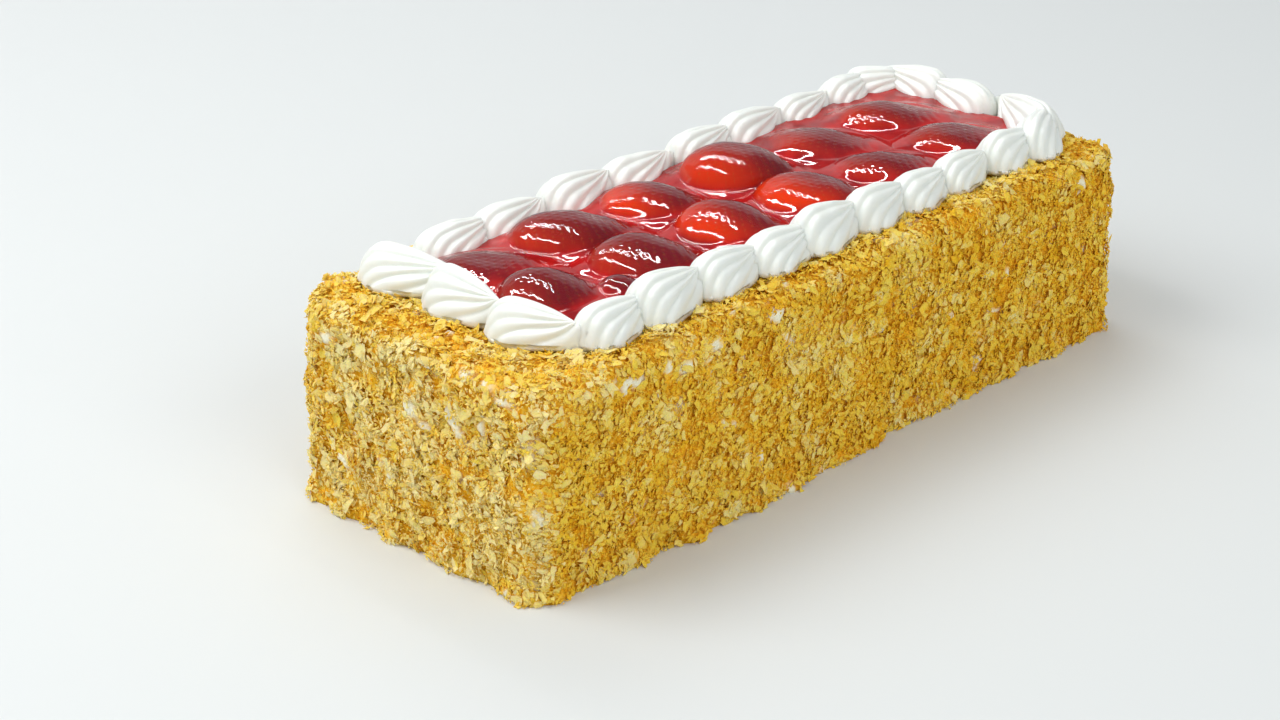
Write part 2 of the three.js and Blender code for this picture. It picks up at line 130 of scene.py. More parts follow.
# The shells that stray from the even drift: number, how far on, how far outward, how far turned in
# radians, how much larger and how much taller
STRAYED = (
    (0, 4.5, 0, 0, 0.94, 1),
    (4, -2.5, 0, 0, 1.08, 1),
    (5, 0, 0, 0, 1.05, 1),
    (8, 5, 0, 0, 1.06, 1),
    (9, 4, 0, 0, 1.22, 1),
    (10, -2, 0, 0, 1.26, 0.9),
    (11, 9.5, 0, 0, 1.12, 0.85),
    (12, 9, 0, 0, 1.1, 1),
    (13, 3, 0, 0, 1, 0.85),
    (14, -7, 0, 0, 1, 0.8),
    (15, -4, 0, 0, 1, 0.85),
    (16, 0, 0, 0, 1, 0.83),
    (17, 0, 0, 0, 1, 0.83),
    (18, 7, 0, 0, 1.04, 0.83),
    (19, 9, 0, 0, 1, 0.83),
    (20, 12, 0, 0, 1, 0.8),
    (21, 6.5, 0, 0, 1, 0.85),
    (22, 6.5, 1.5, 0.9, 1.04, 0.82),
    (23, 5.7, 0, 0, 1, 1),
    (24, 5.5, -1, 0.2, 0.92, 1),
)
TOPPING_LEVEL = 77.8

# The strawberries, as in the CAD model: centre in x and y, heading of the point, length, width, and
# how high the crown stands over the loaf
BERRIES = (
    (-105.5, 18.5, -0.5, 42, 30, 8.8),
    (-106.5, -12.5, -0.6, 35, 32, 13.6),
    (-65.5, 18, -0.45, 46, 32, 13.4),
    (-63, -16, -0.65, 40, 33, 13.8),
    (-24.5, 17.5, -0.8, 38, 32, 12.2),
    (-21, -17, -0.65, 38, 33, 13.8),
    (19, 15, -0.5, 44, 34, 17),
    (21, -18.5, -0.5, 41, 32, 13.4),
    (63.5, 11.5, -0.85, 42, 33, 9.4),
    (63, -20.5, -0.5, 38, 29, 9.6),
    (104, 11.5, -0.7, 43, 31, 10),
    (104, -21.5, -0.65, 39, 30, 9.8),
    (-85, -27, -0.9, 17, 14, 9),
)
BERRY_BED = 1.3
BERRY_SHOULDER = 0.8
BERRY_ROUNDNESS = 0.5
BERRY_FULLNESS = 0.8
BERRY_TAPER = 0.12

# The glaze, as in the CAD model
GLAZE_LEVEL = 3.6
GLAZE_CLIMB = 2.2
GLAZE_SPREAD = 4
GLAZE_UNDER_CREAM = 6


def smoothstep(value, low, high):
    """0 below low, 1 above high, and three squares less two cubes of the share in between."""
    share = np.clip((value - low) / (high - low), 0, 1)
    return share * share * (3 - 2 * share)


def uneven(number):
    """The CAD model's unevenness from -1 to 1: the sine of a fixed turn times the number."""
    return np.sin(UNEVEN_TURN * number)


def lattice_noise(points, size, seed):
    """Smooth unevenness from -1 to 1. Random numbers stand at the corners of a lattice of cubes, and a
    point takes the smoothly weighted mean of the eight corners around it."""
    side = 32
    table = np.random.default_rng(seed).uniform(-1, 1, (side, side, side))
    scaled = points / size
    cell = np.floor(scaled).astype(int)
    share = smoothstep(scaled - cell, 0, 1)
    total = np.zeros(points.shape[:-1])
    for corner in np.ndindex(2, 2, 2):
        weight = np.prod(np.where(corner, share, 1 - share), axis=-1)
        total += weight * table[tuple(np.moveaxis((cell + corner) % side, -1, 0))]
    return total


def double_noise(points, size, fine_size, seed, fine=0.5):
    """Coarse noise plus a share of finer noise."""
    return lattice_noise(points, size, seed) + fine * lattice_noise(points, fine_size, seed + 1)


def along_rectangle(distance, length, width, radius):
    """A rounded rectangle as x, y and the outward angle. The distance runs anticlockwise from the
    right-hand end of the near side, over a quarter circle and then a straight, four times."""
    quarter = TURN / 4 * radius
    straights = (width - 2 * radius, length - 2 * radius) * 2
    distance = np.mod(distance, 4 * quarter + sum(straights))
    half_x, half_y = length / 2 - radius, width / 2 - radius
    corners = ((half_x, -half_y), (half_x, half_y), (-half_x, half_y), (-half_x, -half_y))
    x, y, angle = (np.zeros_like(distance, float) for _ in range(3))
    start = 0.0
    for side, (corner, straight) in enumerate(zip(corners, straights)):
        turned = (side - 1) * TURN / 4 + np.clip(distance - start, 0, quarter) / radius
        run = np.clip(distance - start - quarter, 0, straight)
        here = distance >= start
        x = np.where(here, corner[0] + radius * np.cos(turned) - run * np.sin(turned), x)
        y = np.where(here, corner[1] + radius * np.sin(turned) + run * np.cos(turned), y)
        angle = np.where(here, turned, angle)
        start += quarter + straight
    return x, y, angle


def perimeter(length, width, radius):
    """Four straights and one full circle."""
    return 2 * (length + width - 4 * radius) + TURN * radius


LOAF_ROUND = perimeter(LOAF_LENGTH, LOAF_WIDTH, CORNER_RADIUS)
BORDER_ROUND = perimeter(BORDER_LENGTH, BORDER_WIDTH, BORDER_RADIUS)


def from_piping(x, y):
    """Distance in plan from the line of piping: that to a rectangle less its corner radius, negative
    inside."""
    out_x = np.abs(x - BORDER_CENTRE[0]) - (BORDER_LENGTH / 2 - BORDER_RADIUS)
    out_y = np.abs(y - BORDER_CENTRE[1]) - (BORDER_WIDTH / 2 - BORDER_RADIUS)
    corner = np.hypot(np.maximum(out_x, 0), np.maximum(out_y, 0))
    return corner + np.minimum(np.maximum(out_x, out_y), 0) - BORDER_RADIUS


def on_loaf(along, climb):
    """Places and outward directions on the smooth loaf. Along runs round its outline. Climb runs up the
    wall, over the quarter circle of the top edge and in across the top, where the outline shrinks."""
    x, y, angle = along_rectangle(along, LOAF_LENGTH, LOAF_WIDTH, CORNER_RADIUS)
    bend = np.clip((climb - WALL) / TOP_EDGE_RADIUS, 0, TURN / 4)
    inward = np.maximum(climb - WALL - EDGE_ARC, 0)
    drawn = TOP_EDGE_RADIUS * (np.cos(bend) - 1)
    px = (x + np.cos(angle) * drawn) * (1 - inward / (LOAF_LENGTH / 2 - TOP_EDGE_RADIUS))
    py = (y + np.sin(angle) * drawn) * (1 - inward / (LOAF_WIDTH / 2 - TOP_EDGE_RADIUS))
    pz = np.minimum(climb, WALL) + TOP_EDGE_RADIUS * np.sin(bend)
    place = np.stack([px, py, pz], -1)
    outward = [np.cos(angle) * np.cos(bend), np.sin(angle) * np.cos(bend), np.sin(bend)]
    return place, np.stack(outward, -1)


def coat_relief(place):
    """How far the coat stands out: lumps of two sizes, a slow swell of the sides and a flare at the
    foot. It dies away on the top beside the piping."""
    x, y, z = np.moveaxis(place, -1, 0)
    lumps = double_noise(place * CRAG_STRETCH, CRAG_SIZE, FINE_CRAG_SIZE, seed=3)
    swell = np.sin(x / SWELL_REACH[0]) * np.cos(y / SWELL_REACH[1] + z / SWELL_REACH[2])
    clear = smoothstep(from_piping(x, y) - FLAT_TOP, 0, TOP_RISE)
    side = smoothstep(LOAF_HEIGHT - z, CRAGS_BELOW_TOP, TOP_EDGE_RADIUS)
    foot = FOOT_FLARE * (1 - smoothstep(z, 0, FOOT_HEIGHT))
    return np.maximum(clear, side) * (CRAG_DEPTH * lumps + SWELL * swell + foot)


# Where the cream under the coat shows most: x, y, z, and how far it reaches along and up
SMEARS = (
    (-126, -62, 72.5, 5, 2),
    (-118, -62, 70.5, 4, 2.6),
    (-111, -62, 69, 4.5, 2.2),
    (-98, -62, 70, 1.8, 3),
    (-91, -62, 67.5, 2.6, 3.6),
    (-75, -62, 68, 5, 3.6),
    (-102, -62, 60, 1.6, 2.4),
    (-44, -62, 70.5, 3, 2.2),
    (129, -62, 68, 6, 3),
    (-160, -27, 77, 5, 2.6),
    (-160, -36, 76.5, 5, 3),
    (-160, -46, 74, 5, 3),
    (-160, 2, 54, 4, 4),
    (-160, -7, 49, 3.5, 3),
    (-160, -21, 56, 5, 4.5),
    (-160, -34, 60, 2.5, 2.5),
    (-156, -55, 58, 3, 4.5),
    (-160, 36, 21, 4, 3),
    (-160, 14, 27, 5, 3),
    (-160, 43, 67, 4, 4),
)
# How ragged a smear's outline is, and where it starts to fade and is gone, as shares of its reach
SMEAR_RAGGED = 0.9
SMEAR_EDGE = (0.5, 1.1)
RAGGED_SIZE = 2.4
# The scattered spots, and the noise at which they start and are complete
SPOT_SIZE = 6.5
SPOT_RAGGED = 0.5
SPOT_RANGE = (0.7, 1)
# The places where cream has soaked in, and the noise at which they start and are complete
BLOTCH_SIZE = 12
FINE_BLOTCH_SIZE = 4.5
SOAKED_RANGE = (-0.1, 0.75)


def soaked(place):
    """How far the cream has soaked into the coat, 0 to 1, in blotches of two sizes."""
    return smoothstep(double_noise(place, BLOTCH_SIZE, FINE_BLOTCH_SIZE, seed=14), *SOAKED_RANGE)


def cream_shows(place):
    """How much the cream shows through the coat, 0 to 1: in the smears, which are ragged ellipses, and
    in scattered spots where the noise is highest."""
    ragged = lattice_noise(place, RAGGED_SIZE, seed=11)
    spots = lattice_noise(place, SPOT_SIZE, seed=12)
    shows = smoothstep(spots + SPOT_RAGGED * ragged, *SPOT_RANGE)
    for x, y, z, reach, rise in SMEARS:
        aside = np.hypot(place[..., 0] - x, place[..., 1] - y) / reach
        away = np.hypot(aside, (place[..., 2] - z) / rise)
        shows = np.maximum(shows, 1 - smoothstep(away + SMEAR_RAGGED * ragged, *SMEAR_EDGE))
    return shows


def shell_places():
    """Centre, heading, size and tallness of every shell, by the CAD model's rule: even spacing plus a
    drift that follows a cosine round the border, and a size that follows the spacing. Every third
    one or so is low, some stray from the rule, and those of the far row head the other way."""
    number = np.arange(SHELL_COUNT)
    share = number / SHELL_COUNT
    start = BORDER_ROUND - (BORDER_CENTRE[0] + BORDER_LENGTH / 2 - BORDER_RADIUS - FIRST_SHELL_X)
    phase = TURN * (share - DRIFT_START)
    drift = PIPING_DRIFT * (np.cos(phase) - math.cos(TURN * DRIFT_START))
    usual = (0.0, 0, 0, 1, 1)
    how = np.tile(usual, (SHELL_COUNT, 1))
    for strayed, *other in STRAYED:
        how[strayed] = other
    on, out, turned, larger, taller = how.T
    distance = start + BORDER_ROUND * share + drift + on
    x, y, angle = along_rectangle(distance, BORDER_LENGTH, BORDER_WIDTH, BORDER_RADIUS)
    x, y = x + out * np.cos(angle), y + out * np.sin(angle)
    crowding = 1 - TURN * PIPING_DRIFT / BORDER_ROUND * np.sin(phase)
    size = larger * crowding**CROWDED_SIZE * (1 + UNEVEN_PIPING * uneven(number))
    far = (number >= FAR_ROW[0]) & (number <= FAR_ROW[1])
    heading = angle + TURN / 4 + turned + TURN / 2 * far
    tallness = taller * (1 - UNEVEN_HEIGHT * np.cos(UNEVEN_HEIGHT_TURN * number))
    return list(zip(x + BORDER_CENTRE[0], y + BORDER_CENTRE[1], heading, size, tallness))


def placed(points, x, y, heading, z=TOPPING_LEVEL):
    """Points of a piece's own frame, turned about the upright axis and moved to their place."""
    cosine, sine = math.cos(heading), math.sin(heading)
    turned = np.array([[cosine, sine, 0], [-sine, cosine, 0], [0, 0, 1]])
    return points @ turned + np.array([x, y, z])


def grid_faces(rows, columns, closed):
    """Quads between neighbouring rows of a grid of points. In a closed grid the last column meets the
    first."""
    row, column = np.meshgrid(
        np.arange(rows - 1), np.arange(columns if closed else columns - 1), indexing="ij"
    )
    after = (column + 1) % columns
    corners = (row, column), (row, after), (row + 1, after), (row + 1, column)
    return np.stack([r * columns + c for r, c in corners], -1).reshape(-1, 4)


def fan_faces(pole, ring, outward):
    """Triangles from a pole to a closed ring of points."""
    after = np.roll(ring, -1)
    pair = (ring, after) if outward else (after, ring)
    return np.stack([np.full_like(ring, pole), *pair], -1)


def closed_skin(rings, start_pole, end_pole):
    """Points and faces of a closed surface: rings that run anticlockwise seen from the end pole."""
    rows, columns = rings.shape[:2]
    points = np.concatenate([rings.reshape(-1, 3), [start_pole], [end_pole]])
    first, last = np.arange(columns), np.arange(columns) + (rows - 1) * columns
    faces = [
        grid_faces(rows, columns, True),
        fan_faces(rows * columns, first, False),
        fan_faces(rows * columns + 1, last, True),
    ]
    return points, faces


def make_piece(name, points, faces, material, stands_for, numbers, smooth=True):
    """Puts points in millimetres and groups of faces into a mesh object that rides on the cake, takes
    the place of CAD nodes and carries one number for each point under each name in numbers."""
    mesh = bpy.data.meshes.new(name)
    sizes = np.concatenate([np.full(len(group), group.shape[1]) for group in faces])
    corners = np.concatenate([group.ravel() for group in faces])
    mesh.vertices.add(len(points))
    mesh.vertices.foreach_set("co", (points * MM).astype(np.float32).ravel())
    mesh.loops.add(len(corners))
    mesh.loops.foreach_set("vertex_index", corners.astype(np.int32))
    mesh.polygons.add(len(sizes))
    mesh.polygons.foreach_set("loop_start", np.concatenate([[0], np.cumsum(sizes)[:-1]]))
    mesh.update(calc_edges=True)
    for key, values in numbers.items():
        attribute = mesh.attributes.new(key, "FLOAT", "POINT")
        attribute.data.foreach_set("value", np.asarray(values, np.float32).ravel())
    if smooth:
        mesh.shade_smooth()
    else:
        mesh.shade_flat()
    mesh.materials.append(material)
    piece = bpy.data.objects.new(name, mesh)
    bpy.context.scene.collection.objects.link(piece)
    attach(piece, BODY)
    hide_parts(*stands_for)


class Number:
    """A number that a shader works out at each point. Arithmetic on it adds Math nodes."""

    def __init__(self, recipe, socket):
        self.recipe = recipe
        self.socket = socket

    def _math(self, operation, *terms):
        settings = {"operation": operation}
        return Number(self.recipe, self.recipe.node("Math", settings, dict(enumerate(terms))))

    def __add__(self, other):
        return self._math("ADD", self, other)

    __radd__ = __add__

    def __sub__(self, other):
        return self._math("SUBTRACT", self, other)

    def __rsub__(self, other):
        return self._math("SUBTRACT", other, self)

    def __mul__(self, other):
        return self._math("MULTIPLY", self, other)

    __rmul__ = __mul__


# A Mix node's colour sockets by number, because their names stand for several kinds of value
MIX_SHARE, MIX_FIRST, MIX_SECOND, MIX_RESULT = 0, 6, 7, 2


class Recipe:
    """A material while its nodes are put together."""

    def __init__(self, name):
        self.material = bpy.data.materials.new(name)
        self.material.use_nodes = True
        self.tree = self.material.node_tree
        self.tree.nodes.clear()
        self.place = self.node("TexCoord", out="Object")

    def node(self, kind, settings=None, sockets=None, out=0):
        """Adds a node, gives it its settings, then gives its sockets their values or links, and
        returns one of its outputs. A settings entry named stops holds the positions and colours
        of a ramp."""
        node = self.tree.nodes.new("ShaderNode" + kind)
        for key, value in (settings or {}).items():
            if key == "stops":
                self._set_stops(node.color_ramp, value)
            else:
                setattr(node, key, value)
        for key, value in (sockets or {}).items():
            if isinstance(value, Number):
                value = value.socket
            if isinstance(value, bpy.types.NodeSocket):
                self.tree.links.new(value, node.inputs[key])
            else:
                node.inputs[key].default_value = value
        return node.outputs[out] if len(node.outputs) else node

    @staticmethod
    def _set_stops(ramp, stops):
        while len(ramp.elements) < len(stops):
            ramp.elements.new(1)
        for element, (position, tint) in zip(ramp.elements, stops):
            element.position = position
            element.color = colour(tint)

    def carried(self, name):
        """A number that the piece's own mesh carries under a name."""
        settings = {"attribute_name": name}
        return Number(self, self.node("Attribute", settings, out="Fac"))

    def noise(self, size, detail):
        """Noise from about 0 to 1 whose lumps are about size millimetres across."""
        sockets = {"Vector": self.place, "Scale": 1 / (size * MM), "Detail": detail}
        return Number(self, self.node("TexNoise", None, sockets, out="Fac"))

    def blend(self, share, first, second):
        """Two colours, mixed by a share."""
        sockets = {MIX_SHARE: share, MIX_FIRST: colour(first), MIX_SECOND: colour(second)}
        return self.node("Mix", {"data_type": "RGBA"}, sockets, MIX_RESULT)

    def bump(self, height, depth):
        """A normal that shows a height from 0 to 1 as that many millimetres of relief."""
        return self.node("Bump", None, {"Height": height, "Distance": depth * MM})

    def finish(self, sockets):
        """Ends the material in one Principled shader with these sockets, and returns the material."""
        shader = self.node("BsdfPrincipled", None, sockets)
        self.node("OutputMaterial", None, {"Surface": shader})
        return self.material


def colour(value):
    """Three numbers as a socket's colour, or a link as it is."""
    return value if isinstance(value, bpy.types.NodeSocket) else (*value, 1)


def colour_setting(name, description, default):
    """A colour that a user would change, as a property."""
    return FloatVectorProperty(
        name=name, description=description, default=default, subtype="COLOR", min=0, max=1
    )


class PastrySettings(bpy.types.PropertyGroup):
    """The coat of crushed puff pastry."""

    flakes_per_cm2: FloatProperty(
        name="Flakes", description="Flakes on each square centimetre", default=115, min=5, max=125
    )
    pale: colour_setting("Pale flake", "Thin flakes that let light through", (0.98, 0.8, 0.33))
    golden: colour_setting("Golden flake", "Most of the flakes", (0.98, 0.655, 0.08))
    amber: colour_setting("Amber flake", "Well baked flakes", (0.94, 0.5, 0.02))
    brown: colour_setting("Brown flake", "The darkest crumbs", (0.62, 0.26, 0.01))


class CreamSettings(bpy.types.PropertyGroup):
    """The piped border."""

    ridges: IntProperty(name="Ridges", description="Ridges round a shell", default=12, min=5, max=20)
    ridge_depth: FloatProperty(
        name="Ridge depth", description="Depth of a valley, in millimetres", default=1.25, min=0, max=3
    )
    white: colour_setting("Cream", "Whipped cream", (0.835, 0.87, 0.82))
    under: colour_setting("Cream under the flakes", "Tinted by the pastry", (0.93, 0.9, 0.68))
    stained: colour_setting("Stained cream", "Where the glaze bleeds into it", (0.9, 0.68, 0.66))


class StrawberrySettings(bpy.types.PropertyGroup):
    """The halved strawberries."""

    flesh: colour_setting("Skin", "Ripe skin", (0.62, 0.02, 0.012))
    shoulder: colour_setting("Shoulder", "Paler skin at the blunt end", (0.9, 0.1, 0.02))
    seed: colour_setting("Seed", "Seeds on the skin", (0.35, 0.12, 0.02))


class GlazeSettings(bpy.types.PropertyGroup):
    """The glaze over the strawberries."""

    film: FloatProperty(
        name="Film", description="Thickness over a strawberry, in millimetres", default=0.6, min=0.2
    )
    pool: colour_setting("Pool", "Between the strawberries", (0.62, 0.014, 0.012))
    deep: colour_setting("Deep pool", "In the pool's darker clouds", (0.29, 0.005, 0.007))
    seed: colour_setting("Seed", "A seed seen through the film", (0.5, 0.12, 0.03))
    # The film's painted light on a strawberry's lit flank and shoulder, and its painted shade over the
    # crown
    bright: colour_setting("Bright film", "Over a strawberry's shoulder", (0.95, 0.045, 0.002))
    dark: colour_setting("Dark film", "Over a strawberry's crown", (0.17, 0.008, 0.018))


class StageSettings(bpy.types.PropertyGroup):
    """The floor, lights and camera."""

    floor: colour_setting("Floor", "Pale floor", (0.7, 0.73, 0.725))
    lens: FloatProperty(name="Lens", description="Camera lens, in millimetres", default=80.14, min=20)
    sky: FloatProperty(name="Sky", description="Strength of the light all round", default=0.42, min=0)


class CakeSettings(bpy.types.PropertyGroup):
    """Everything that a user would change."""

    pastry: PointerProperty(type=PastrySettings)
    cream: PointerProperty(type=CreamSettings)
    strawberry: PointerProperty(type=StrawberrySettings)
    glaze: PointerProperty(type=GlazeSettings)
    stage: PointerProperty(type=StageSettings)


# The core

CORE_INSET = 1.3
CORE_COLUMNS = 600
CORE_WALL_ROWS = 50
CORE_EDGE_ROWS = 8
CORE_TOP_ROWS = 14
CORE_TOP_REACH = 30


def core_material(pastry, cream):
    """Crumb from pale to brown by a fine noise, paler where it is soaked, with cream in its gaps."""
    recipe = Recipe("pastry_crumb")
    crumbs = recipe.noise(size=1.3, detail=3)
    stops = ((0.1, pastry.pale), (0.3, pastry.golden), (0.5, pastry.amber), (0.72, pastry.brown))
    paler = 0.2 * recipe.carried("soaked")
    crumb = recipe.node("ValToRGB", {"stops": stops}, {"Fac": crumbs - paler})
    shows = recipe.carried("cream")
    base = recipe.blend(shows, crumb, cream.under)
    sockets = {
        "Base Color": base,
        "Roughness": 0.8 - 0.35 * shows,
        "Specular IOR Level": 0.03,
        "Normal": recipe.bump(crumbs, 0.9),
    }
    return recipe.finish(sockets)


class MILLEFEUILLE_OT_core(bpy.types.Operator):
    """Make the loaf under its coat, with cream where the coat is thin"""

    bl_idname = "millefeuille.core"
    bl_label = "Make the loaf"

    def execute(self, context):
        cake = context.scene.cake
        wall = np.linspace(0, WALL, CORE_WALL_ROWS, endpoint=False)
        edge = WALL + np.linspace(0, EDGE_ARC, CORE_EDGE_ROWS, endpoint=False)
        top = WALL + EDGE_ARC + np.linspace(0, CORE_TOP_REACH, CORE_TOP_ROWS)
        climb = np.concatenate([wall, edge, top])
        along = np.arange(CORE_COLUMNS) * LOAF_ROUND / CORE_COLUMNS
        along, climb = np.meshgrid(along, climb)
        place, outward = on_loaf(along, climb)
        bare = cream_shows(place)
        rings = place + outward * (coat_relief(place) - CORE_INSET * (1 - bare))[..., None]
        rings[..., 2] = np.where(climb == 0, 0, rings[..., 2])
        poles = (0, 0, 0), (0, 0, LOAF_HEIGHT - CORE_INSET)
        points, faces = closed_skin(rings, *poles)
        numbers = {"cream": cream_shows(points), "soaked": soaked(points)}
        material = core_material(cake.pastry, cake.cream)
        make_piece("loaf_core", points, faces, material, [LOAF_NODE], numbers)
        return {"FINISHED"}


# The coat of flakes. A kind has its share of all flakes, its corners, its reach in millimetres, how
# narrow it is, how thick, how far it tilts in radians and how well baked it is on the whole.
FlakeKind = namedtuple("FlakeKind", "share corners reach narrow thick tilt toast")
FLAKE_KINDS = (
    FlakeKind(0.45, 3, (0.5, 1.05), (0.6, 1), 0.7, 0.8, 0.47),
    FlakeKind(0.33, 4, (0.8, 1.6), (0.5, 1), 0.45, 0.7, 0.43),
    FlakeKind(0.12, 6, (1.3, 2.4), (0.5, 0.9), 0.4, 0.55, 0.34),
    FlakeKind(0.03, 8, (2.2, 3.6), (0.5, 0.85), 0.45, 0.45, 0.3),
    FlakeKind(0.07, 4, (1.4, 2.8), (0.12, 0.25), 0.4, 0.7, 0.55),
)
# Their shape: the first three are spreads, and a pair is a least and a most
FLAKE_SPIN = 0.9
FLAKE_CURL = 0.16
FLAKE_CRUMPLE = 0.1
FLAKE_RAGGED = (0.4, 1.25)
CORNER_SHIFT = (-0.32, 0.32)
THICKNESS_VARIES = (0.6, 1.2)
PRESSED_FLAT = 0.45
# Where the surface faces up more than this, a flake's plane is worked out from X instead of Z
FACES_UP = 0.9
# What makes them paler or darker, on a scale from 0 to 1: painted light on the left end, painted
# shade on the near side that grows towards its right end and on flakes deep between others, then
# cream that has soaked in and baking that varies from place to place and flake to flake
LEFT_END_PAINTED_LIGHT = 0.19
NEAR_SIDE_PAINTED_SHADE = 0.12
NEAR_RIGHT_PAINTED_SHADE = 0.1
SOAKED_PALER = 0.18
SOAKED_USUAL = 0.3
TOAST_CLOUDS = 0.12
TOAST_CLOUD_SIZE = 5
TOAST_VARIES = 0.1
DEPTH_PAINTED_SHADE = 0.13
# Where they lie: how far they stand out, singly and in clumps, how they bank up beside the cream, the
# share left off where cream shows, and how clear they stay of the table and of the piping
COAT_LIFT = (-0.9, 0.5)
CLUMP_SIZE = 5
CLUMP_LIFT = 1.3
BANK_PLACE = 11  # from the line of piping
BANK_WIDTH = 2.5
BANK_HEIGHT = 1.1
LEFT_OFF_CREAM = 0.72
LOWEST_FLAKE = 0.4
CLEAR_OF_TABLE = 0.02
CLEAR_OF_PIPING = 4
# Seeds of the random numbers: for the flakes' places, and for the flakes themselves
SIDE_SEEDS = (40, 60)
TOP_SEEDS = (50, 70)
# The coat's pieces round the sides, anticlockwise from the right-hand near corner
COAT_SECTORS = "right_end far_side_right far_side_left left_end near_side_left near_side_right".split()


def shards(place, outward, kind, reach, random):
    """Closed, curled slivers, one at each place. A sliver is a ragged polygon in its own plane, bent
    along its length by the square of the distance, with a point above and a point below its middle.
    Its plane is the surface's own, spun much as its neighbours are and then tilted, less so on the
    long sides, where the hand pressed them on."""
    count, corners = len(place), kind.corners
    spin = TURN * lattice_noise(place, CLUMP_SIZE, seed=23)[:, None]
    spin = spin + random.normal(0, FLAKE_SPIN, (count, 1))
    upright = np.abs(outward[:, 2:]) < FACES_UP
    helper = np.where(upright, [0.0, 0.0, 1.0], [1.0, 0.0, 0.0])
    side = np.cross(helper, outward)
    side /= np.linalg.norm(side, axis=1, keepdims=True)
    rise = np.cross(outward, side)
    first = side * np.cos(spin) + rise * np.sin(spin)
    second = np.cross(outward, first)
    pressed = 1 - PRESSED_FLAT * np.abs(outward[:, 1:2])
    tilt = np.abs(random.normal(0, kind.tilt, (count, 1))) * pressed
    lifted = outward * np.cos(tilt) - first * np.sin(tilt)
    first = first * np.cos(tilt) + outward * np.sin(tilt)
    steps = np.arange(corners) + random.uniform(*CORNER_SHIFT, (count, corners))
    angle = TURN * steps / corners
    ragged = reach[:, None] * random.uniform(*FLAKE_RAGGED, (count, corners))
    narrow = random.uniform(*kind.narrow, (count, 1))
    along, across = ragged * np.cos(angle), ragged * narrow * np.sin(angle)
    curl = random.normal(0, FLAKE_CURL, (count, 1))
    crumple = random.normal(0, FLAKE_CRUMPLE, (count, corners)) * reach[:, None]
    height = curl * along**2 / reach[:, None] + crumple
    rim = (
        place[:, None]
        + along[..., None] * first[:, None]
        + across[..., None] * second[:, None]
        + height[..., None] * lifted[:, None]
    )
    half = kind.thick / 2 * random.uniform(*THICKNESS_VARIES, (count, 1))
    middles = np.stack([place + lifted * half, place - lifted * half], 1)
    points = np.concatenate([rim, middles], 1)
    ring = np.arange(corners)
    faces = np.concatenate([fan_faces(corners, ring, True), fan_faces(corners + 1, ring, False)])
    faces = faces[None] + (corners + 2) * np.arange(count)[:, None, None]
    return points.reshape(-1, 3), faces.reshape(-1, 3)


def coat(name, place, outward, material, seed):
    """One piece of the coat, with a flake of some kind at every place. The left end is paler by painted
    light, the near side darker by painted shade, most of all towards its right end, and flakes deep
    between others darker by painted shade than those that stand out. On the top, the coat banks up
    against the foot of the cream by a bell curve of the distance from the piping."""
    random = np.random.default_rng(seed)
    keep = random.uniform(0, 1, len(place)) > LEFT_OFF_CREAM * cream_shows(place)
    place, outward = place[keep], outward[keep]
    lift = CLUMP_LIFT * lattice_noise(place, CLUMP_SIZE, seed=24)
    lift = lift + random.uniform(*COAT_LIFT, len(place))
    beyond = (from_piping(place[:, 0], place[:, 1]) - BANK_PLACE) / BANK_WIDTH
    relief = coat_relief(place) + lift + BANK_HEIGHT * np.exp(-(beyond**2)) * outward[:, 2]
    left, near = np.maximum(-outward[:, 0], 0), np.maximum(-outward[:, 1], 0)
    # Painted light on the left end and painted shade on the near side, by the way the surface faces,
    # the shade growing towards the near side's right end; these are added to how well baked flakes are
    baked = NEAR_SIDE_PAINTED_SHADE * near**3 - LEFT_END_PAINTED_LIGHT * np.sqrt(left)
    baked += NEAR_RIGHT_PAINTED_SHADE * near * place[:, 0] / LOAF_LENGTH
    clouds = TOAST_CLOUDS * lattice_noise(place, TOAST_CLOUD_SIZE, seed=22)
    baked += clouds - SOAKED_PALER * (soaked(place) - SOAKED_USUAL)
    # Painted shade on flakes that lie deep between others
    baked -= DEPTH_PAINTED_SHADE * lift
    place = place + outward * relief[:, None]
    pick = random.uniform(0, 1, len(place))
    all_points, all_faces, all_toast, used, low = [], [], [], 0, 0.0
    for kind in FLAKE_KINDS:
        chosen = (pick >= low) & (pick < low + kind.share)
        low += kind.share
        reach = random.uniform(*kind.reach, chosen.sum())
        points, faces = shards(place[chosen], outward[chosen], kind, reach, random)
        toast = kind.toast + baked[chosen] + random.normal(0, TOAST_VARIES, chosen.sum())
        all_points.append(points)
        all_faces.append(faces + used)
        all_toast.append(np.repeat(np.clip(toast, 0, 1), kind.corners + 2))
        used += len(points)
    points = np.concatenate(all_points)
    points[:, 2] = np.maximum(points[:, 2], CLEAR_OF_TABLE)
    faces = [np.concatenate(all_faces)]
    # The toast that each flake carries holds its painted light and shade as well as how well baked it
    # is
    numbers = {"toast": np.concatenate(all_toast)}
    make_piece(name, points, faces, material, [LOAF_NODE], numbers, smooth=False)


def flake_material(pastry):
    """Thin pastry that lets some light through, coloured by how well baked each flake is and by the
    painted light and shade that its toast carries.
    """
    recipe = Recipe("pastry_flake")
    mottle = recipe.noise(size=0.9, detail=3)
    toast = recipe.carried("toast") + 0.22 * (mottle - 0.5)
    stops = ((0, pastry.pale), (0.4, pastry.golden), (0.72, pastry.amber), (1, pastry.brown))
    base = recipe.node("ValToRGB", {"stops": stops}, {"Fac": toast})
    sockets = {
        "Base Color": base,
        "Roughness": 0.5 + 0.25 * mottle,
        "Normal": recipe.bump(mottle, 0.25),
        "Specular IOR Level": 0.03,
        "Subsurface Weight": 0.35,
        "Subsurface Radius": (1.0, 0.6, 0.2),
        "Subsurface Scale": 1.5 * MM,
    }
    return recipe.finish(sockets)


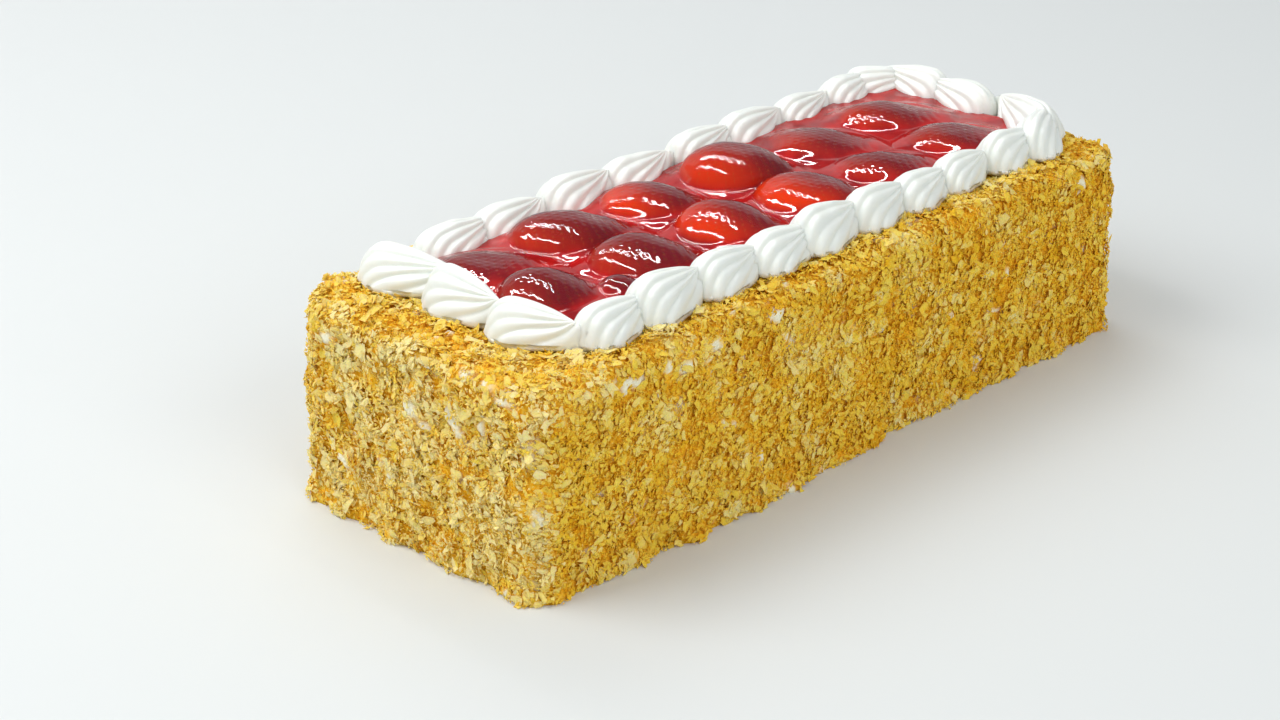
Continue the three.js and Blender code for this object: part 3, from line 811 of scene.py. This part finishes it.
class MILLEFEUILLE_OT_flakes(bpy.types.Operator):
    """Make the coat of pastry flakes"""

    bl_idname = "millefeuille.flakes"
    bl_label = "Make the flakes"

    def execute(self, context):
        pastry = context.scene.cake.pastry
        material = flake_material(pastry)
        density = pastry.flakes_per_cm2 / 100
        corner = TURN / 4 * CORNER_RADIUS
        end = LOAF_WIDTH - 2 * CORNER_RADIUS + corner
        half = LOAF_LENGTH / 2 - CORNER_RADIUS + corner / 2
        edges = corner / 2 + np.cumsum([0, end, half, half, end, half, half])
        highest = WALL + EDGE_ARC
        for i, name in enumerate(COAT_SECTORS):
            random = np.random.default_rng(SIDE_SEEDS[0] + i)
            count = int((edges[i + 1] - edges[i]) * highest * density)
            along = random.uniform(edges[i], edges[i + 1], count)
            climb = random.uniform(LOWEST_FLAKE, highest, count)
            place, outward = on_loaf(along, climb)
            coat(f"{name}_flakes", place, outward, material, SIDE_SEEDS[1] + i)
        random = np.random.default_rng(TOP_SEEDS[0])
        room = np.array([LOAF_LENGTH, LOAF_WIDTH]) / 2 - TOP_EDGE_RADIUS
        plan = random.uniform(-1, 1, (int(4 * room[0] * room[1] * density), 2)) * room
        plan = plan[from_piping(plan[:, 0], plan[:, 1]) > CLEAR_OF_PIPING]
        place = np.column_stack([plan, np.full(len(plan), LOAF_HEIGHT)])
        outward = np.tile([0.0, 0.0, 1.0], (len(plan), 1))
        coat("top_flakes", place, outward, material, TOP_SEEDS[1])
        return {"FINISHED"}


# The piped shells

SHELL_STEPS_PER_RIDGE = 12
SHELL_ROWS = 44
SHELL_SEED = 100
SHELL_WOBBLE = 0.35
WOBBLE_SIZE = 6
WOBBLE_APART = 50  # from shell to shell, in the noise
TIP_ASIDE = 0.5
# The ring halfway down the lip: how far out and how high, as shares of the lip's
LIP_MIDDLE = (0.985, 0.4)
BULB_SMOOTHNESS = 0.4
BULB_FRONT = (0, 0.9)
CREASE_SOFTNESS = 0.07
RIDGES_REARWARD = 0.3
RIDGE_SWEEP = 0.8
RIDGE_WARP = (0.35, 0.2)
RIDGE_START = (0.02, 0.4)
THIN_TAIL = (0.5, 4)
# Where the glaze stains the cream: below these heights, and this far in from the line of piping
STAIN_HEIGHT = (4.5, 9)
STAIN_REACH = (3, 9)


def along_shell(x, size):
    """How far a place lies from a shell's middle, as a share of the way to its front or its tail, and
    whether it is on the tail's side."""
    past = x / size - SHELL_MIDDLE
    ahead = past > 0
    reach = np.where(ahead, SHELL_TAIL - SHELL_MIDDLE, SHELL_MIDDLE + SHELL_BULB)
    return np.clip(np.abs(past) / reach, 0, 1), ahead


def shell_width(x, size):
    """Half the foot's width: an ellipse round the bulb, and a cosine raised to a power, drawn in to a
    point, along the tail."""
    gone, ahead = along_shell(x, size)
    tail = np.cos(TURN / 4 * gone) ** TAIL_PINCH
    return size * SHELL_WIDTH / 2 * np.where(ahead, tail, np.sqrt(1 - gone**2))


def shell_height(x, y, size, tallness):
    """The lip, plus the rise times the crest times a bowed slope to the foot on either side. The crest
    is the root of one less a power of how far the place lies from the middle."""
    gone, ahead = along_shell(x, size)
    crest = np.sqrt(1 - gone ** np.where(ahead, TAIL_FALL, BULB_FALL))
    side = np.clip(np.abs(y) / np.maximum(shell_width(x, size), TINY), 0, 1)
    rise = size * tallness * SHELL_HEIGHT - SHELL_LIP
    return SHELL_LIP + rise * crest * (1 - side**FLANK_BOW) ** FLANK_FALL


def shell_skin(size, tallness, number, ridges, depth):
    """One shell, its bulb at -X and its tail at +X. Every ring is the teardrop of the foot drawn
    towards the tip by a share. The ridges are the arches of a sine's size, with soft creases between
    them, and they run from the tip by the tail, sweeping back over the bulb and down to the foot. They
    die away where the tail gets thin, so that its sides don't cross."""
    random = np.random.default_rng(SHELL_SEED + number)
    tip = size * np.array([TIP_AHEAD, random.uniform(-TIP_ASIDE, TIP_ASIDE)])
    columns = ridges * SHELL_STEPS_PER_RIDGE
    turned = TURN * np.arange(columns) / columns
    angle = turned + RIDGES_REARWARD * np.sin(turned)
    rise = np.sin(TURN / 4 * np.linspace(0, 1, SHELL_ROWS + 1)[1:])
    share = np.concatenate([rise, [LIP_MIDDLE[0], LIP_TUCK]])
    reach = np.where(np.cos(angle) > 0, SHELL_TAIL - SHELL_MIDDLE, SHELL_MIDDLE + SHELL_BULB)
    foot_x = size * (SHELL_MIDDLE + np.cos(angle) * reach)
    foot = np.stack([foot_x, np.sign(np.sin(angle)) * shell_width(foot_x, size)], -1)
    plan = tip + (foot - tip) * share[:, None, None]
    height = shell_height(plan[..., 0], plan[..., 1], size, tallness)
    height[-3] = SHELL_LIP
    height[-2] = SHELL_LIP * LIP_MIDDLE[1]
    height[-1] = 0
    skin = np.concatenate([plan, height[..., None]], -1)
    along = np.gradient(skin, axis=0)
    around = (np.roll(skin, -1, 1) - np.roll(skin, 1, 1)) / 2
    outward = np.cross(along, around)
    outward /= np.maximum(np.linalg.norm(outward, axis=-1, keepdims=True), TINY)
    first, second = random.uniform(0, TURN, 2)
    warp = RIDGE_WARP[0] * np.sin(turned + first) + RIDGE_WARP[1] * np.sin(2 * turned + second)
    swept = turned + RIDGE_SWEEP * (1 - share[:, None]) * np.sin(turned)
    swing = np.sin(ridges * swept / 2 + warp) ** 2
    arch = np.sqrt(swing + CREASE_SOFTNESS) - math.sqrt(1 + CREASE_SOFTNESS)
    thick = smoothstep(shell_width(plan[..., 0], size), *THIN_TAIL)
    fade = smoothstep(share, *RIDGE_START)[:, None] * thick
    smooth = 1 - BULB_SMOOTHNESS * smoothstep(-np.cos(angle), *BULB_FRONT)
    valley = depth * size * arch * smooth * fade
    wobble = SHELL_WOBBLE * lattice_noise(skin + WOBBLE_APART * number, WOBBLE_SIZE, seed=31) * fade
    skin = skin + outward * (valley + wobble)[..., None]
    skin[..., 2] = np.maximum(skin[..., 2], 0)
    skin[-1, :, 2] = 0
    return skin[::-1], (0, 0, 0), (*tip, shell_height(*tip, size, tallness))


def cream_material(cream):
    """White cream with a soft, faintly grained skin, cloudily stained beside the glaze."""
    recipe = Recipe("whipped_cream")
    stain = recipe.carried("stain")
    soft = recipe.noise(size=2.2, detail=3)
    fine = recipe.noise(size=0.5, detail=2)
    base = recipe.blend(stain * (0.05 + 0.4 * soft), cream.white, cream.stained)
    sockets = {
        "Base Color": base,
        "Roughness": 0.4 + 0.12 * soft,
        "Subsurface Weight": 0.6,
        "Subsurface Radius": (1.0, 0.95, 0.88),
        "Subsurface Scale": 3 * MM,
        "Normal": recipe.bump(0.7 * soft + 0.3 * fine, 0.12),
    }
    return recipe.finish(sockets)


class MILLEFEUILLE_OT_cream(bpy.types.Operator):
    """Make the border of piped cream shells"""

    bl_idname = "millefeuille.cream"
    bl_label = "Make the cream"

    def execute(self, context):
        cream = context.scene.cake.cream
        material = cream_material(cream)
        for number, (x, y, heading, size, tallness) in enumerate(shell_places()):
            rings, base, tip = shell_skin(size, tallness, number, cream.ridges, cream.ridge_depth)
            points, faces = closed_skin(rings, base, tip)
            low = 1 - smoothstep(points[:, 2], *STAIN_HEIGHT)
            points = placed(points, x, y, heading)
            stain = low * smoothstep(-from_piping(points[:, 0], points[:, 1]), *STAIN_REACH)
            node = f"cream_shell_{number + 1:02d}"
            numbers = {"stain": stain}
            make_piece(f"piped_{node}", points, faces, material, [node], numbers)
        return {"FINISHED"}


# The strawberries

BERRY_ROUND = 84
BERRY_RINGS = 64
BERRY_LUMPS = 0.1
BERRY_LUMP_SIZE = 13
LUMPS_APART = 40  # from berry to berry, in the noise
# The height of the point that closes either end, as a share of the berry's
CLOSING_HEIGHT = 0.05
PALE_SHOULDER = (0.05, 0.75)
SEED_PITCH = 3.3
PIT_DEPTH = 0.45
PIT_RADIUS = 0.85
SEED_RISE = 0.3
SEED_RADIUS = 0.5
# How far the rows of seeds wave, as a share of the pitch, and how fast by the angle and by the
# length, and how the columns do by the length
ROW_WAVE = (0.35, 2.3, 5)
COLUMN_WAVE = (0.3, 9)
# Where the seeds set in: sines of the angle, and shares of the full girth
SEED_FLANK = (0.1, 0.3)
SEED_GIRTH = (0.25, 0.5)
LEAST_GIRTH = 0.3


def girth(share):
    """A berry's girth at a share of its length from the blunt end: a sine, drawn towards the blunt end,
    with blunt ends and a slight taper."""
    inside = np.clip(share, 0, 1)
    return (1 - BERRY_TAPER * inside) * np.sin(np.pi * inside**BERRY_SHOULDER) ** BERRY_ROUNDNESS


def fuller(value):
    """A sine or cosine raised to a power below 1, which makes an ellipse fuller."""
    return np.sign(value) * np.abs(value) ** BERRY_FULLNESS


def seed_dots(share, angle, wide, length, half):
    """How near a place on a berry is to a seed, as its pit and the seed itself, 0 to 1 each. The seeds
    stand on a slanting lattice that waves a little, over all but the ends and the lowest flanks."""
    sway, by_angle, by_length = ROW_WAVE
    row = share * length / SEED_PITCH + sway * np.sin(by_angle * angle + by_length * share)
    sway, by_length = COLUMN_WAVE
    column = angle * half / SEED_PITCH + (np.round(row) % 2) / 2 + sway * np.sin(by_length * share)
    across = (column - np.round(column)) * np.maximum(wide, LEAST_GIRTH)
    away = SEED_PITCH * np.hypot(row - np.round(row), across)
    on_top = smoothstep(np.sin(angle), *SEED_FLANK) * smoothstep(wide, *SEED_GIRTH)
    pit = np.exp(-((away / PIT_RADIUS) ** 2))
    seed = np.exp(-((away / SEED_RADIUS) ** 4))
    return on_top * pit, on_top * seed


def berry_lumps(forward, aside, number):
    """How much taller than an even berry one is at a place in its own frame, as noise round 1."""
    place = np.stack([forward, aside, np.full_like(forward, LUMPS_APART * number)], -1)
    return 1 + BERRY_LUMPS * lattice_noise(place, BERRY_LUMP_SIZE, seed=53)


def berry_skin(length, half, tall, number):
    """A half strawberry as rings along its length. Each ring is half a full ellipse over a flat base,
    and lumps raise or lower it. Its seeds stand in pits."""
    share = 0.5 - 0.5 * np.cos(np.pi * (np.arange(BERRY_RINGS) + 0.5) / BERRY_RINGS)
    angle = TURN * np.arange(BERRY_ROUND) / BERRY_ROUND
    share, angle = np.meshgrid(share, angle, indexing="ij")
    wide = girth(share)
    pit, seed = seed_dots(share, angle, wide, length, half)
    grown = 1 - (PIT_DEPTH * pit - SEED_RISE * seed) / half
    x = length * (share - 0.5)
    y = fuller(np.cos(angle)) * half * wide * grown
    z = fuller(np.maximum(np.sin(angle), 0)) * tall * wide * grown * berry_lumps(x, y, number)
    rings = np.stack([x, y, z], -1)
    ends = [(way * length / 2, 0, CLOSING_HEIGHT * tall) for way in (-1, 1)]
    return rings, ends, seed, share


def berry_material(strawberry):
    """Blotched skin, paler at the shoulder, with seeds. It is dull, because the glaze covers it."""
    recipe = Recipe("strawberry_skin")
    blotch = recipe.noise(size=5, detail=3)
    pale = recipe.carried("pale")
    seed = recipe.carried("seed")
    skin = recipe.blend(pale + 0.4 * (blotch - 0.5), strawberry.flesh, strawberry.shoulder)
    base = recipe.blend(seed, skin, strawberry.seed)
    return recipe.finish({"Base Color": base, "Roughness": 0.5, "Specular IOR Level": 0})


class MILLEFEUILLE_OT_strawberries(bpy.types.Operator):
    """Make the halved strawberries"""

    bl_idname = "millefeuille.strawberries"
    bl_label = "Make the strawberries"

    def execute(self, context):
        cake = context.scene.cake
        material = berry_material(cake.strawberry)
        for number, (x, y, heading, length, width, crown) in enumerate(BERRIES):
            rings, ends, seed, share = berry_skin(length, width / 2, crown - BERRY_BED, number)
            points, faces = closed_skin(rings, *ends)
            points = placed(points, x, y, heading, TOPPING_LEVEL + BERRY_BED)
            pale = 1 - smoothstep(np.append(share, [0, 1]), *PALE_SHOULDER)
            node = f"strawberry_{number + 1:02d}"
            numbers = {"seed": np.append(seed, [0, 0]), "pale": pale}
            make_piece(f"glazed_{node}", points, faces, material, [node], numbers)
        return {"FINISHED"}


# The glaze

GLAZE_CELL = 0.56
GLAZE_FILLET = 1.2
GLAZE_DIMPLE = 0.2
GLAZE_RIPPLE = 0.3
RIPPLE_SIZE = 8
FINE_RIPPLE = 0.15
FINE_RIPPLE_SIZE = 3
# How far a berry's film stands over the pool where its colour sets in and is complete
FILM_RISE = (-2, 4)
# Where the dimples of a berry's crown set in and are complete, as shares of its height there
CROWN = (0.72, 0.88)
# A berry's painted light, which stands for light that enters its flesh on one flank, with painted
# shade over its crown where it fades: how it falls towards the point and to one side and grows down
# the flanks, the range over which it sets in, and how much of it each berry gets
PAINTED_LIGHT_FALL = (1.6, 0.9)
PAINTED_LIGHT_DOWN = 0.5
PAINTED_LIGHT_RANGE = (0.65, 1.85)
PAINTED_LIGHT_BY_BERRY = (0.2, 0.4, 0.55, 0.5, 0.9, 0.9, 0.78, 0.95, 0.7, 0.6, 0.7, 0.6, 0.3)


def glaze_form(x, y, film):
    """The glaze's height over the cake's top, and how much of it is a berry's, how much painted light
    the film over the berry gets there and how plainly a seed shows, 0 to 1 each. The painted light
    stands for light that enters the berry's flesh on one flank, and where it is low the film takes
    painted shade. The pool climbs the flank of each berry by a bell curve of the distance from it, and
    a film covers the berry itself, dimpled over the seeds of its crown. Pool and berries meet in
    fillets, and berries that lie close in saddles, because the height is the logarithm of the sum of
    all their exponentials."""
    plan = np.stack([x, y, np.zeros_like(x)], -1)
    pool, domes, glow, seeds, dimple, merged = (np.zeros_like(x) for _ in range(6))
    for number, (bx, by, heading, length, width, crown) in enumerate(BERRIES):
        dx, dy = x - bx, y - by
        forward = dx * math.cos(heading) + dy * math.sin(heading)
        aside = -dx * math.sin(heading) + dy * math.cos(heading)
        outside = (np.hypot(2 * forward / length, 2 * aside / width) - 1) * width / 2
        pool = np.maximum(pool, np.exp(-((np.maximum(outside, 0) / GLAZE_SPREAD) ** 2)))
        wide = girth(forward / (length + 2 * film) + 0.5)
        across = np.abs(aside) / np.maximum(wide * width / 2 + film, TINY)
        section = np.maximum(1 - across ** (2 / BERRY_FULLNESS), 0) ** (BERRY_FULLNESS / 2)
        rise = (crown - BERRY_BED) * wide * berry_lumps(forward, aside, number)
        dome = np.where(wide > 0, (BERRY_BED + rise) * section + film, 0)
        # Painted light, lit towards the blunt end, on one side and down the flanks, and painted shade
        # over the crown
        lit = -PAINTED_LIGHT_FALL[0] * forward / length - PAINTED_LIGHT_FALL[1] * aside / width
        lit += PAINTED_LIGHT_DOWN * (1 - dome / crown)
        bright = PAINTED_LIGHT_BY_BERRY[number] * smoothstep(lit + PAINTED_LIGHT_BY_BERRY[number], *PAINTED_LIGHT_RANGE)
        angle = np.arccos(np.clip(2 * aside / np.maximum(wide * width, TINY), -1, 1))
        pit, seed = seed_dots(forward / length + 0.5, angle, wide, length, width / 2)
        highest = dome > domes
        glow = np.where(highest, bright, glow)
        dimple = np.where(highest, pit * smoothstep(section, *CROWN), dimple)
        seeds = np.where(highest, seed, seeds)
        domes = np.maximum(domes, dome)
        merged += np.expm1(dome / GLAZE_FILLET)
    level = GLAZE_LEVEL + GLAZE_CLIMB * pool
    ripple = double_noise(plan, RIPPLE_SIZE, FINE_RIPPLE_SIZE, seed=51, fine=FINE_RIPPLE)
    height = GLAZE_FILLET * np.log(merged + np.exp(level / GLAZE_FILLET))
    height += GLAZE_RIPPLE * ripple - GLAZE_DIMPLE * dimple
    return height, smoothstep(domes - level, *FILM_RISE), glow, seeds


def glaze_material(glaze):
    """A glossy film that is thin over the berries, painted from shade over their crowns to light on one
    flank, and a cloudy pool that hides what is under it."""
    recipe = Recipe("strawberry_glaze")
    over = recipe.carried("berry")
    glow = recipe.carried("glow")
    cloud = recipe.noise(size=9, detail=3)
    # The film's painted shade over a crown turns to painted light on the lit flank
    film = recipe.blend(glow + 0.25 * (cloud - 0.5), glaze.dark, glaze.bright)
    film = recipe.blend(0.3 * recipe.carried("seed"), film, glaze.seed)
    pool = recipe.blend(2.2 * cloud - 0.7, glaze.deep, glaze.pool)
    base = recipe.blend(over, pool, film)
    waves = recipe.noise(size=6, detail=1)
    sockets = {
        "Base Color": base,
        "Alpha": 0.98 - 0.24 * over,
        "Roughness": 0.05,
        "IOR": 1.36,
        "Normal": recipe.bump(waves, 0.12),
    }
    return recipe.finish(sockets)


class MILLEFEUILLE_OT_glaze(bpy.types.Operator):
    """Make the glaze over the strawberries"""

    bl_idname = "millefeuille.glaze"
    bl_label = "Make the glaze"

    def execute(self, context):
        glaze = context.scene.cake.glaze
        length = BORDER_LENGTH - SHELL_WIDTH + 2 * GLAZE_UNDER_CREAM
        width = BORDER_WIDTH - SHELL_WIDTH + 2 * GLAZE_UNDER_CREAM
        columns, rows = round(length / GLAZE_CELL) + 1, round(width / GLAZE_CELL) + 1
        x, y = np.meshgrid(
            BORDER_CENTRE[0] + np.linspace(-length / 2, length / 2, columns),
            BORDER_CENTRE[1] + np.linspace(-width / 2, width / 2, rows),
        )
        height, berry, glow, seed = glaze_form(x, y, glaze.film)
        top = np.stack([x, y, TOPPING_LEVEL + height], -1).reshape(-1, 3)
        index = np.arange(rows * columns).reshape(rows, columns)
        rim = np.concatenate([index[0, :-1], index[:-1, -1], index[-1, :0:-1], index[:0:-1, 0]])
        foot = top[rim].copy()
        foot[:, 2] = TOPPING_LEVEL
        lower = len(top) + np.arange(len(rim))
        walls = np.stack([rim, lower, np.roll(lower, -1), np.roll(rim, -1)], -1)
        points = np.concatenate([top, foot])
        faces = [grid_faces(rows, columns, False), walls, lower[::-1][None]]
        blank = np.zeros(len(rim))
        numbers = {"berry": berry, "glow": glow, "seed": seed}
        numbers = {key: np.append(value, blank) for key, value in numbers.items()}
        node = "strawberry_glaze"
        make_piece("glaze_film", points, faces, glaze_material(glaze), [node], numbers)
        return {"FINISHED"}


# The stage, in metres

EYE = Vector((-0.7174, -0.6502, 0.4851))
AIM = Vector((-0.0556, -0.0062, 0.0387))
FLOOR_SIZE = 12
SKY_COLOUR = (0.95, 0.975, 1)
# Name, azimuth and height above the horizon in degrees, distance, width, height and watts per
# square metre
SOFTBOXES = (
    ("key_softbox", -125, 50, 1.5, 1.0, 1.0, 14),
    ("front_fill", -10, 35, 1.8, 1.2, 0.8, 11),
    ("back_fill", 150, 45, 1.8, 1.2, 1.0, 5),
)
BRIGHT_WALL = ("bright_wall", 134, 20, 2.5, 4, 1.6, 1.6)
# Two long tubes that run along Y and show in reflections alone. Name, x and y of the middle, length,
# width and watts per square metre
TUBE_HEIGHT = 1.3
TUBES = (
    ("left_tube", -0.54, 0.55, 2.8, 0.09, 260),
    ("right_tube", 0.36, 0.9, 3.0, 0.065, 260),
)


def looking(direction):
    """The turn that points a light or camera along a direction, upright."""
    return direction.to_track_quat("-Z", "Y")


class MILLEFEUILLE_OT_stage(bpy.types.Operator):
    """Make the floor, the lights and the camera"""

    bl_idname = "millefeuille.stage"
    bl_label = "Make the stage"

    def execute(self, context):
        scene = context.scene
        stage = scene.cake.stage
        self.make_floor(scene, stage)
        for name, azimuth, rise, distance, *panel in (*SOFTBOXES, BRIGHT_WALL):
            a, e = math.radians(azimuth), math.radians(rise)
            back = Vector((math.sin(a) * math.cos(e), -math.cos(a) * math.cos(e), math.sin(e)))
            glossy = name == BRIGHT_WALL[0]
            self.hang(scene, name, AIM + distance * back, -back, panel, glossy)
        for name, x, y, *panel in TUBES:
            down = Vector((AIM.x - x, 0, AIM.z - TUBE_HEIGHT))
            self.hang(scene, name, Vector((x, y, TUBE_HEIGHT)), down, panel, True)
        world = bpy.data.worlds.new("soft_sky")
        world.use_nodes = True
        background = world.node_tree.nodes["Background"]
        background.inputs["Color"].default_value = colour(SKY_COLOUR)
        background.inputs["Strength"].default_value = stage.sky
        scene.world = world
        scene.view_settings.view_transform = "Standard"
        camera = bpy.data.objects.new("camera", bpy.data.cameras.new("camera"))
        camera.data.lens = stage.lens
        camera.location = EYE
        camera.rotation_mode = "QUATERNION"
        camera.rotation_quaternion = looking(AIM - EYE)
        scene.collection.objects.link(camera)
        scene.camera = camera
        return {"FINISHED"}

    @staticmethod
    def hang(scene, name, place, direction, panel, glossy):
        """Hangs a light panel of a width, a height and watts per square metre. A glossy one shows
        in reflections alone, and any other never does."""
        width, height, strength = panel
        light = bpy.data.lights.new(name, "AREA")
        light.shape = "RECTANGLE"
        light.size, light.size_y = width, height
        light.energy = strength * width * height
        lamp = bpy.data.objects.new(name, light)
        lamp.location = place
        lamp.rotation_mode = "QUATERNION"
        lamp.rotation_quaternion = looking(direction)
        lamp.visible_camera = False
        lamp.visible_glossy = glossy
        lamp.visible_diffuse = not glossy
        scene.collection.objects.link(lamp)

    @staticmethod
    def make_floor(scene, stage):
        """Lays a plain square floor round the origin."""
        half = FLOOR_SIZE / 2
        corners = [(-half, -half, 0), (half, -half, 0), (half, half, 0), (-half, half, 0)]
        mesh = bpy.data.meshes.new("floor")
        mesh.from_pydata(corners, [], [(0, 1, 2, 3)])
        recipe = Recipe("pale_floor")
        mesh.materials.append(recipe.finish({"Base Color": colour(stage.floor), "Roughness": 0.9}))
        floor = bpy.data.objects.new("floor", mesh)
        scene.collection.objects.link(floor)


class MILLEFEUILLE_PT_panel(bpy.types.Panel):
    """Settings and steps of the cake"""

    bl_idname = "MILLEFEUILLE_PT_panel"
    bl_label = "Mille-feuille"
    bl_space_type = "VIEW_3D"
    bl_region_type = "UI"
    bl_category = "Mille-feuille"

    def draw(self, context):
        cake = context.scene.cake
        for group, steps in PANEL_ROWS:
            box = self.layout.box()
            settings = getattr(cake, group)
            for key in settings.__annotations__:
                box.prop(settings, key)
            for step in steps:
                box.operator(step.bl_idname)


PANEL_ROWS = (
    ("stage", (MILLEFEUILLE_OT_stage,)),
    ("pastry", (MILLEFEUILLE_OT_core, MILLEFEUILLE_OT_flakes)),
    ("cream", (MILLEFEUILLE_OT_cream,)),
    ("strawberry", (MILLEFEUILLE_OT_strawberries,)),
    ("glaze", (MILLEFEUILLE_OT_glaze,)),
)
STEPS = tuple(step for _, steps in PANEL_ROWS for step in steps)
CLASSES = (
    PastrySettings,
    CreamSettings,
    StrawberrySettings,
    GlazeSettings,
    StageSettings,
    CakeSettings,
    *STEPS,
    MILLEFEUILLE_PT_panel,
)


def register():
    for item in CLASSES:
        bpy.utils.register_class(item)
    bpy.types.Scene.cake = PointerProperty(type=CakeSettings)


def unregister():
    del bpy.types.Scene.cake
    for item in reversed(CLASSES):
        bpy.utils.unregister_class(item)


def main():
    """Builds the cake and its stage."""
    register()
    for step in STEPS:
        group, name = step.bl_idname.split(".")
        getattr(getattr(bpy.ops, group), name)()


if __name__ == "__main__":
    main()
